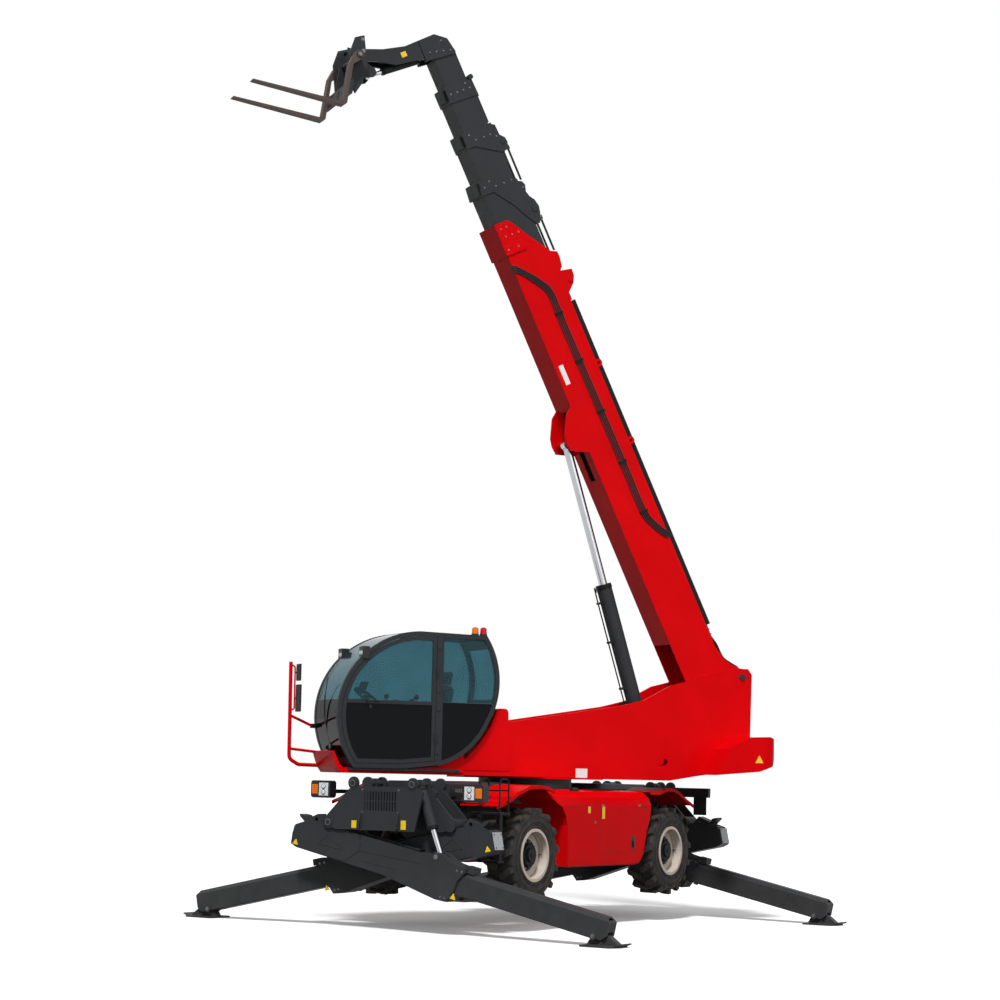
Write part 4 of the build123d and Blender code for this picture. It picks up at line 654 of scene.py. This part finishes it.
def dress_frame():
    """Slewing ring's bolts, valve blocks with hoses, steering cylinders and axle bolts."""
    ring = Piece("SlewBolts", "chassis", STEEL)
    ring.hexes(CHASSIS, circle(48, 0.600, 1.6595), 0.011, 0.010)
    ring.done()
    valves = Piece("ValveBlocks", "chassis", STEEL)
    for half in (CHASSIS, REAR):
        valves.box(half, (2.38, 2.58), (0.562, 0.640), (1.590, 1.700))
        for x in VALVE_X:
            valves.rod(half, (x, 0.64, 1.66), (x, 0.675, 1.66), 0.012, 6)
            valves.rod(half, (x, 0.60, 1.70), (x, 0.60, 1.735), 0.010, 12)
    valves.done()
    hoses = Piece("FrameHoses", "chassis", RUBBER)
    for half in (CHASSIS, REAR):
        for i, x in enumerate(VALVE_X):
            hoses.tube(half, ((x, 0.67, 1.66), (x, 0.72 + 0.004 * i, 1.64),
                              (x - 0.04, 0.70, 1.50), (x - 0.14, 0.56, 1.42),
                              (x - 0.22, 0.40, 1.40), (x - 0.26, 0.31, 1.40)), 0.011)
    hoses.done(0)
    axle = Piece("AxleParts", "chassis", BLACK)
    for x in (WHEEL_X, -WHEEL_X):
        inner = -1 if x > 0 else 1      # towards the middle of the chassis
        ram_x = x + inner * 0.17        # steering cylinder
        axle.rod(CHASSIS, (ram_x, -0.30, 0.90), (ram_x, 0.30, 0.90), 0.042, 24)
        axle.rod(CHASSIS, (ram_x, -0.62, 0.90), (ram_x, 0.62, 0.90), 0.020, 16)
        for forward, up, _ in circle(16, 0.118, 0):
            for side in (1, -1):
                axle.rod(CHASSIS, (x + forward, side * 0.1495, WHEEL_Z + up),
                         (x + forward, side * 0.160, WHEEL_Z + up), 0.010, 6)
        axle.box(Matrix.Translation((x, 0, 0)), across(inner, 0.10, 0.20), (-0.06, 0.06),
                 (0.86, 0.94))
    axle.done()


def dress_lamps():
    """Lenses of the front lamps and rear light bars, and the treads of the ladder."""
    clear = Piece("FrontLenses", "chassis", LENS_CLEAR)
    amber = Piece("AmberLenses", "chassis", AMBER)
    red = Piece("RedLenses", "chassis", LENS_RED)
    rims = Piece("LampRims", "chassis", PLASTIC)
    front, rear = 2.998, -2.943
    for side in (1, -1):
        clear.box(CHASSIS, (front, front + 0.008), across(side, 1.020, 1.160), (1.610, 1.770))
        amber.box(CHASSIS, (front, front + 0.010), across(side, 1.180, 1.270), (1.630, 1.750))
        for z in (1.654, 1.726):
            place = frame_of((front + 0.007, side * 1.090, z), (0, 1, 0), (1, 0, 0))
            rims.disc(place, (0, 0, 0), 0.034, 0.005)
            clear.disc(place, (0, 0, 0.005), 0.028, 0.006, 24, 0.020)
        for i in range(5):
            amber.box(CHASSIS, (front + 0.009, front + 0.013), across(side, 1.186, 1.264),
                      (1.638 + 0.023 * i, 1.650 + 0.023 * i))
        for piece, near, far in ((red, 0.68, 0.86), (amber, 0.88, 1.02), (red, 1.04, 1.12),
                                 (clear, 1.14, 1.22)):
            piece.box(CHASSIS, (rear - 0.009, rear + 0.002), across(side, near, far),
                      (1.675, 1.765))
            for i in range(4):
                piece.box(CHASSIS, (rear - 0.012, rear - 0.008),
                          across(side, near + 0.01, far - 0.01),
                          (1.685 + 0.021 * i, 1.696 + 0.021 * i))
    for piece in (clear, amber, red, rims):
        piece.done(0.002)
    treads = Piece("LadderTreads", "chassis", STEEL)
    pitch = 0.03
    for z, depth in ((1.464, 0.210), (1.154, 0.150), (0.884, 0.150)):
        for i in range(int(2 * depth / pitch)):
            for x in (2.505, 2.540, 2.575):
                treads.disc(CHASSIS, (x, 1.27 - 2 * depth + 0.02 + pitch * i, z), 0.008, 0.004,
                            10, 0.005)
    treads.done(0)


# --------------------------------------------------------- upper structure
HULL_Y = 0.310                          # outer face of the upper frame's side plates
RAIL_X = 3.378                          # guard rail's post
LAMP_Z = 3.395                          # middle of the work lamps


def dress_turret():
    """Bolts, blank signs and pin caps of the upper frame."""
    bolts = Piece("HullBolts", "upper", STEEL)
    bolts.side_hexes(TURRET, HULL_Y, 1, [(-0.31 + 0.83 * i / 12, 1.925) for i in range(13)],
                     0.011, 0.012)
    bolts.done()
    sign = Piece("WeightSigns", "upper", YELLOW)
    for face in (1, -1):
        sign.prism(TURRET, ((-3.140, 2.150), (-3.020, 2.150), (-3.080, 2.255)),
                   face * 0.8495, face * 0.8512)
    sign.done(0)
    plate = Piece("HullPlate", "upper", LABEL)
    plate.box(TURRET, (-0.770, -0.600), (HULL_Y, HULL_Y + 0.0015), (1.900, 2.020))
    plate.done(0)
    pins = Piece("BoomPinCaps", "upper", GREY)
    x, _, z = LIFT_PIN
    for face in (1, -1):
        pin = side_plane(TURRET, (x, face * HULL_Y, z), face)
        pins.disc(pin, (0, 0, 0), 0.048, 0.014, 40, 0.044)
        pins.hexes(pin, [(du, 0, 0) for du in (-0.085, 0.085)], 0.011, 0.009)
    pins.done()


def dress_rail_and_roof():
    """Mirrors on the guard rail, and beacons and work lamps on the cab."""
    mirrors = Piece("Mirrors", "upper", PLASTIC)
    glass = Piece("MirrorGlass", "upper", MIRROR)
    for z0, z1, width in ((3.040, 3.255, 0.150), (2.650, 2.995, 0.180)):
        middle = (z0 + z1) / 2
        mirrors.box(TURRET, (RAIL_X - 0.034, RAIL_X - 0.006), (0.400, 0.400 + width), (z0, z1))
        glass.box(TURRET, (RAIL_X - 0.038, RAIL_X - 0.0335), (0.412, 0.388 + width),
                  (z0 + 0.014, z1 - 0.014))
        mirrors.rod(TURRET, (RAIL_X, 0.395, middle), (RAIL_X - 0.02, 0.44, middle), 0.010)
    mirrors.done(0.010)
    glass.done(0.001)
    foot = Piece("BeaconFeet", "upper", PLASTIC)
    for name, x, colour in (("BeaconRed", 1.020, LENS_RED), ("BeaconAmber", 1.135, AMBER)):
        beacon = Piece(name, "upper", colour)
        beacon.disc(TURRET, (x, 0.900, 3.712), 0.046, 0.074, 32, 0.040)
        beacon.disc(TURRET, (x, 0.900, 3.786), 0.040, 0.014, 32, 0.018)
        beacon.done(0.003)
        foot.disc(TURRET, (x, 0.900, 3.668), 0.054, 0.045, 32, 0.048)
    foot.done(0.003)
    work = Piece("WorkLamps", "upper", PLASTIC)
    lens = Piece("WorkLenses", "upper", LENS_CLEAR)
    for y in (1.195, 0.395):
        work.box(TURRET, (2.690, 2.790), (y - 0.075, y + 0.075), (LAMP_Z - 0.080, LAMP_Z + 0.080))
        work.box(TURRET, (2.600, 2.700), (y - 0.020, y + 0.020), (LAMP_Z - 0.025, LAMP_Z + 0.025))
        for dy in (-0.032, 0.032):
            lens.rod(TURRET, (2.786, y + dy, LAMP_Z), (2.7915, y + dy, LAMP_Z), 0.026, 24)
    work.done(0.010)
    lens.done(0.002)


def pad(mesh, frame, size, channels):
    """A crowned cushion: a rounded block, drawn in between its corners, with sewn channels
    across its top at shares of its half length, and one welt along each side."""
    crown, pull = 0.14, 0.03                        # of the top, and of the sides
    seam, channel_depth, welt_depth = 0.035, 0.14, 0.10
    welt_place = 0.66
    block = bmesh.new()
    bmesh.ops.create_cube(block, size=2)
    bmesh.ops.subdivide_edges(block, edges=block.edges[:], cuts=27, use_grid_fill=True)
    for vert in block.verts:
        x, y, z = vert.co
        shrink = (abs(x) ** 5 + abs(y) ** 5 + abs(z) ** 5) ** -0.2
        x, y, z = x * shrink, y * shrink, z * shrink
        z *= 1 - crown + crown * (1 - x * x) * (1 - y * y)
        x *= 1 - pull * (1 - y * y)
        y *= 1 - pull * (1 - x * x)
        if z > 0:
            dips = sum(math.exp(-((x - c) / seam) ** 2) for c in channels)
            z -= channel_depth * dips * (1 - y ** 6)
            z -= welt_depth * math.exp(-((abs(y) - welt_place) / seam) ** 2) * (1 - x ** 6)
        vert.co = frame @ Vector((x * size[0], y * size[1], z * size[2]))
    data = bpy.data.meshes.new("Pad")
    block.to_mesh(data)
    block.free()
    mesh.from_mesh(data)
    bpy.data.meshes.remove(data)


def dress_seat():
    """Driver's seat: cushion, backrest, and headrest on two posts."""
    low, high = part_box("cab_seat")
    base = low[2]
    middle = (TURRET.inverted() @ Vector([(a + b) / 2 for a, b in zip(low, high)])).y
    lying = ((1, 0, 0.05), (-0.05, 0, 1))                   # a pad's x and z axes
    leaning = ((-0.125, 0, 0.590), (0.590, 0, 0.125))
    mesh = bmesh.new()
    for x, height, axes, size, channels in (
            (1.812, 0.068, lying, (0.258, 0.215, 0.068), (-0.45, 0.0, 0.45)),
            (1.535, 0.400, leaning, (0.300, 0.210, 0.064), (-0.55, -0.15, 0.25, 0.62)),
            (1.470, 0.785, leaning, (0.088, 0.130, 0.042), ())):
        pad(mesh, TURRET @ frame_of((x, middle, base + height), *axes), size, channels)
    data = bpy.data.meshes.new("DriverCushions")
    mesh.to_mesh(data)
    mesh.free()
    data.materials.append(SEAT)
    data.shade_smooth()
    seat = add_object("DriverCushions", data)
    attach(seat, "upper")
    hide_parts("cab_seat")
    posts = Piece("CushionPosts", "upper", STEEL)
    for y in (middle - 0.05, middle + 0.05):
        posts.rod(TURRET, (1.490, y, base + 0.640), (1.472, y, base + 0.745), 0.007, 12)
    posts.done(0)


CAB_SIDE = 1.250                        # outer face of the cab's left wall


def dress_cab():
    """Skirt and saddle under the cab, rail brackets, and the door's small parts."""
    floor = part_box("cab_shell")[0][2]
    skirt = Piece("CabSkirt", "upper", PLASTIC)
    skirt.box(TURRET, (1.420, 2.900), (0.385, 1.205), (floor - 0.034, floor + 0.004))
    skirt.done()
    saddle = Piece("CabSaddle", "upper", RED)
    saddle.prism(TURRET, ((1.360, floor - 0.036), (2.150, floor - 0.036),
                          (2.150, floor - 0.002), (1.720, floor + 0.036),
                          (1.540, floor + 0.105), (1.360, floor + 0.205)), 0.360, 1.165)
    saddle.done()
    brackets = Piece("RailBrackets", "upper", BLACK)
    brackets.box(TURRET, (3.070, 3.152), (0.366, 0.414), (2.452, 2.508))
    brackets.side_hexes(TURRET, 0.414, 1, ((3.090, 2.480), (3.130, 2.480)), 0.010, 0.008)
    brackets.done()
    hinges = Piece("DoorHinges", "upper", GREY)
    for z in (3.504, 2.961, 2.731, 2.188):
        hinges.box(TURRET, (1.730, 1.784), (CAB_SIDE, CAB_SIDE + 0.010), (z - 0.032, z + 0.032))
        hinges.side_hexes(TURRET, CAB_SIDE + 0.010, 1,
                          [(x, z + dz) for x in (1.744, 1.770) for dz in (-0.017, 0.017)],
                          0.005, 0.004)
    hinges.done()
    handle = Piece("DoorHandle", "door", PLASTIC)
    handle.tube(TURRET, ((2.72, CAB_SIDE + 0.004, 2.795), (2.70, CAB_SIDE + 0.035, 2.80),
                         (2.58, CAB_SIDE + 0.035, 2.80), (2.56, CAB_SIDE + 0.004, 2.795)),
                0.010, sides=10)
    handle.disc(side_plane(TURRET, (2.66, CAB_SIDE - 0.014, 2.73)), (0, 0, 0), 0.020, 0.016, 20)
    handle.done(0)
    knobs = Piece("WindowKnobs", "door", PLASTIC)
    for x in (2.05, 2.45):
        knob = side_plane(TURRET, (x, CAB_SIDE - 0.016, 2.86))
        knobs.disc(knob, (0, 0, 0), 0.030, 0.014, 28)
        knobs.disc(knob, (0, 0, 0.014), 0.018, 0.010)
    knobs.done()
    wiper = Piece("Wiper", "upper", PLASTIC)
    y = 0.80
    wiper.tube(TURRET, ((3.02, y, 2.25), (3.06, y, 2.40), (3.112, y, 2.62), (3.112, y, 2.86)),
               0.008, 8, 4)
    wiper.tube(TURRET, ((3.095, y, 2.50), (3.106, y, 2.65), (3.106, y, 2.86), (3.080, y, 3.08)),
               0.006, 6, 4)
    wiper.disc(TURRET @ frame_of((2.985, y, 2.22), (0, 1, 0), (1, 0, 0)), (0, 0, 0),
               0.040, 0.045)
    wiper.done(0)
    desk = Piece("CabControls", "upper", PLASTIC)
    screen = Matrix.Translation((2.50, 0.47, 2.98)) @ Matrix.Rotation(math.radians(-20), 4, "Y")
    desk.box(TURRET @ screen, (-0.02, 0.02), (-0.10, 0.10), (-0.08, 0.08))
    for y in (0.5075, 1.0875):
        desk.tube(TURRET, ((2.06, y, 2.63), (2.065, y, 2.70), (2.05, y, 2.78)), 0.012, 10, 4)
        desk.disc(TURRET @ Matrix.Translation((2.05, y, 2.77)), (0, 0, 0), 0.022, 0.075,
                  20, 0.028)
    desk.done()


# -------------------------------------------------------------------- boom
# body of each boom section, its front end along the boom, its half width, and its
# collar's bolts, from that front end along the boom and up from the boom's pin
SECTIONS = (
    ("boom", 7.025, 0.268, ((-0.20, -0.52), (-0.20, -0.62), (-0.20, -0.72), (-0.08, -0.66),
                            (-0.08, -0.75), (-0.38, -0.60), (-0.38, -0.76))),
    ("second", 7.660, 0.234, ((-0.15, -0.30), (-0.15, -0.42), (-0.15, -0.55), (-0.06, -0.62),
                              (-0.30, -0.18), (-0.12, -0.72))),
    ("third", 8.335, 0.208, ((-0.15, -0.32), (-0.15, -0.42), (-0.15, -0.55), (-0.06, -0.62),
                             (-0.20, -0.24))),
    ("fourth", 8.993, 0.183, ((-0.12, -0.32), (-0.12, -0.42), (-0.12, -0.52), (-0.12, -0.62),
                              (-0.04, -0.36))),
    ("head", 9.660, 0.163, ((-0.22, -0.36), (-0.20, -0.46), (-0.18, -0.56), (-0.16, -0.66),
                            (-0.06, -0.44))))
HOSES = 4                               # hoses beside each other on the boom
# hose route along the base section: place and height on the boom, and which way each
# further hose lies from the one before it
HOSE_ROUTE = ((2.200, -0.133, 0, -1), (2.400, -0.260, 0, -1), (2.660, -0.354, 0, -1),
              (3.300, -0.360, 0, -1), (4.400, -0.370, 0, -1), (5.400, -0.382, 0, -1),
              (5.900, -0.386, -0.5, -0.9), (6.120, -0.500, -0.9, -0.4),
              (6.370, -0.720, -1, 0), (6.425, -0.790, -1, 0))
HOSE_CLIPS = ((2.66, -0.354), (3.40, -0.361), (4.15, -0.368), (4.90, -0.376), (5.60, -0.384))
HOSE_PITCH = 0.030
LIFT_EYE = (3.907, 0, -0.963)           # lift cylinder's eye on the boom
LIFT_FOOT = (-1.850, 0, 2.152)          # its foot on the upper structure
TILT_FOOT = (9.470, 0, -0.800)          # tilt cylinder's foot on the boom's head
TILT_EYE = (-0.232, 0, -0.190)          # its eye on the carriage


def dress_boom():
    """Collar bolts, blank labels, and the hoses along the base section and on its tail."""
    for body, front, half, places in SECTIONS:
        bolts = Piece("CollarBolts_" + body, body, STEEL)
        for face in (1, -1):
            bolts.side_hexes(BOOM, half, face, [(front + u, v) for u, v in places],
                             0.009, 0.007)
        bolts.done()
    labels = Piece("BoomLabel", "boom", LABEL)
    labels.box(BOOM, (4.66, 4.94), (0.2500, 0.2515), (-0.738, -0.668))
    labels.done(0)
    marks = Piece("NeckLabels", "head", YELLOW)
    for face in (1, -1):
        marks.box(BOOM, (9.56, 9.63), across(face, 0.1470, 0.1485), (-1.06, -0.98))
    marks.done(0)
    hoses = Piece("BoomHoses", "boom", RUBBER)
    clips = Piece("BoomHoseClips", "boom", BLACK)
    for i in range(HOSES):
        step = HOSE_PITCH * i
        way = [(u + step * du, 0.262, v + step * dv) for u, v, du, dv in HOSE_ROUTE]
        way.append((6.430 - step, 0.215, -0.822))           # down into the belly
        hoses.tube(BOOM, way, 0.009)
    for u, v in HOSE_CLIPS:
        clips.box(BOOM, (u - 0.016, u + 0.016), (0.249, 0.277), (v - 0.105, v + 0.022))
        clips.disc(side_plane(BOOM, (u, 0.277, v + 0.014)), (0, 0, 0), 0.006, 0.004, 6)
    hoses.done(0)
    clips.done()
    tail = Piece("TailManifold", "boom", STEEL)
    tail.box(BOOM, (0.600, 0.830), (-0.110, 0.110), (-0.179, -0.112))
    for i in range(6):
        for y in (-0.060, 0.060):
            u = 0.625 + 0.036 * i
            tail.rod(BOOM, (u, y, -0.113), (u, y, -0.060 - 0.012 * (i % 2)), 0.012, 6, 0.010)
    tail.done()
    run = Piece("TailHoses", "boom", RUBBER)
    for i in range(HOSES):
        for side in (1, -1):
            y = side * (0.140 + 0.024 * i)
            run.tube(BOOM, ((0.865, y, -0.155), (0.700, y, -0.160),
                            (0.560, y, -0.150 + 0.008 * i), (0.360, y * 0.95, -0.108),
                            (0.225, y * 0.9, -0.022), (0.130, y * 0.9, 0.052)), 0.011)
    run.done(0)
    chain = Piece("ChainNuts", "second", STEEL)
    for y in (0.08, -0.08):
        for u in (6.905, 6.860):
            chain.rod(BOOM, (u, y, -0.033), (u + 0.022, y, -0.033), 0.024, 6)
    chain.done()


def cylinder_frame(foot, eye):
    """Frame at a boom cylinder's foot: x along the cylinder, y across the boom."""
    along = eye - foot
    return frame_of(foot, along, along.cross(BOOM.to_3x3() @ Vector((0, 1, 0))))


def dress_cylinders():
    """Glands of the lift and tilt cylinders, and the lift cylinder's pipes."""
    ram = cylinder_frame(TURRET @ Vector(LIFT_FOOT), BOOM @ Vector(LIFT_EYE))
    gland = Piece("LiftGland", "lift_barrel", BLACK)
    gland.rod(ram, (2.430, 0, 0), (2.486, 0, 0), 0.112, 48, 0.108)
    gland.rod(ram, (0.080, 0, 0), (0.120, 0, 0), 0.109, 48)
    for y in (0.05, -0.05):
        gland.tube(ram, ((0.30, y, -0.112), (0.36, y, -0.124), (2.30, y, -0.124),
                         (2.40, y, -0.106)), 0.010, 8, 4)
    for x in (0.42, 1.05, 1.70, 2.25):
        gland.box(ram, (x - 0.014, x + 0.014), (-0.075, 0.075), (-0.140, -0.098))
    gland.done()
    tilt = cylinder_frame(BOOM @ Vector(TILT_FOOT), CARRIAGE @ Vector(TILT_EYE))
    collar = Piece("TiltGland", "tilt_barrel", BLACK)
    collar.rod(tilt, (0.520, 0, 0), (0.562, 0, 0), 0.052, 32, 0.050)
    collar.done()


def dress_carriage():
    """Bolts and rubber pads of the fork carriage."""
    bolts = Piece("CarriageBolts", "carriage", STEEL)
    for face in (1, -1):
        bolts.side_hexes(CARRIAGE, 0.360, face, ((0.085, -0.110), (0.0, 0.0), (0.035, 0.150)),
                         0.020, 0.012)
        bolts.side_hexes(CARRIAGE, 0.515, face, ((0.085, -0.110),), 0.022, 0.012)
    bolts.done()
    stops = Piece("CarriagePads", "carriage", RUBBER)
    for y in (-0.30, 0.0, 0.30):
        stops.box(CARRIAGE, (0.149, 0.156), (y - 0.04, y + 0.04), (-0.64, -0.50))
    stops.done()


for name, place in WHEELS.items():
    dress_wheel(name, *place)
for leg in LEGS:
    dress_leg(*leg)
dress_cross_plates()
dress_side_bodies()
dress_frame()
dress_lamps()
dress_turret()
dress_rail_and_roof()
dress_cab()
dress_seat()
dress_boom()
dress_cylinders()
dress_carriage()


# --------------------------------------------------- floor, light and camera
FLOOR_HALF = 200.0
FLOOR_UNSEEN = (0.15, 0.145, 0.14, 1.0)     # what the object's light meets
WORLD_UNSEEN = 0.34                         # sky light on the object
WHITE = (1.0, 1.0, 1.0, 1.0)
CAMERA_PLACE = (26.778, 16.695, 1.983)
CAMERA_LENS = 84.63


def seen_rays(tree):
    """1 for rays from the camera, directly or by way of metal or glass, and 0 for the
    light that the object receives."""
    path = tree.nodes.new("ShaderNodeLightPath")
    value = path.outputs["Is Camera Ray"]
    for ray in ("Is Glossy Ray", "Is Transmission Ray"):
        either = tree.nodes.new("ShaderNodeMath")
        either.operation = "MAXIMUM"
        tree.links.new(value, either.inputs[0])
        tree.links.new(path.outputs[ray], either.inputs[1])
        value = either.outputs[0]
    return value


def lay_floor():
    mesh = bpy.data.meshes.new("Floor")
    corners = [(x * FLOOR_HALF, y * FLOOR_HALF, 0) for x, y in ((-1, -1), (1, -1), (1, 1), (-1, 1))]
    mesh.from_pydata(corners, [], [(0, 1, 2, 3)])
    m = Nodes("FloorWhite")
    pale = m.mix(m.grey(m.noise(0.2), 0.0, 1.0), (0.96, 0.96, 0.96, 1.0), (0.93, 0.93, 0.93, 1.0))
    seen = seen_rays(m.tree)
    m.shader("Base Color", m.mix(seen, FLOOR_UNSEEN, pale))
    m.shader("Emission Color", WHITE)
    m.shader("Emission Strength", m.math("MULTIPLY", seen, 0.14))
    m.shader("Roughness", 0.9)
    m.shader("Specular IOR Level", 0.0)
    mesh.materials.append(m.mat)
    floor = add_object("Floor", mesh)


def light_world():
    """Pale all round where it is seen, and dimmer as light on the object."""
    world = bpy.data.worlds.new("World")
    bpy.context.scene.world = world
    world.use_nodes = True
    tree = world.node_tree
    background = tree.nodes["Background"]
    strength = tree.nodes.new("ShaderNodeMapRange")
    strength.inputs["To Min"].default_value = WORLD_UNSEEN
    strength.inputs["To Max"].default_value = 1.0
    tree.links.new(seen_rays(tree), strength.inputs["Value"])
    tree.links.new(strength.outputs["Result"], background.inputs["Strength"])
    background.inputs["Color"].default_value = WHITE


def sun(name, strength, angle, direction):
    """A soft sun; its angle is in degrees."""
    light = bpy.data.lights.new(name, "SUN")
    light.energy = strength
    light.angle = math.radians(angle)
    add_object(name, light).rotation_euler = Vector(direction).to_track_quat("-Z", "Y").to_euler()


def place_camera():
    """The camera fitted to the photograph."""
    yaw, pitch, roll = math.radians(32.70), math.radians(6.54), math.radians(-1.32)
    look = Vector((-math.cos(yaw) * math.cos(pitch), -math.sin(yaw) * math.cos(pitch),
                   math.sin(pitch)))
    level = look.cross(Vector((0, 0, 1))).normalized()
    right = math.cos(roll) * level - math.sin(roll) * level.cross(look)
    turn = Matrix((right, right.cross(look), -look)).transposed().to_4x4()
    data = bpy.data.cameras.new("Camera")
    data.lens = CAMERA_LENS
    data.sensor_width = 36.0
    data.clip_end = 500.0
    cam = add_object("Camera", data)
    cam.matrix_world = Matrix.Translation(CAMERA_PLACE) @ turn
    bpy.context.scene.camera = cam


lay_floor()
light_world()
sun("Key", 3.0, 9.0, (-0.72, -0.30, -1.0))
sun("Fill", 0.95, 50.0, (-0.5, -1.0, -0.35))
place_camera()
bpy.context.scene.view_settings.view_transform = "Standard"
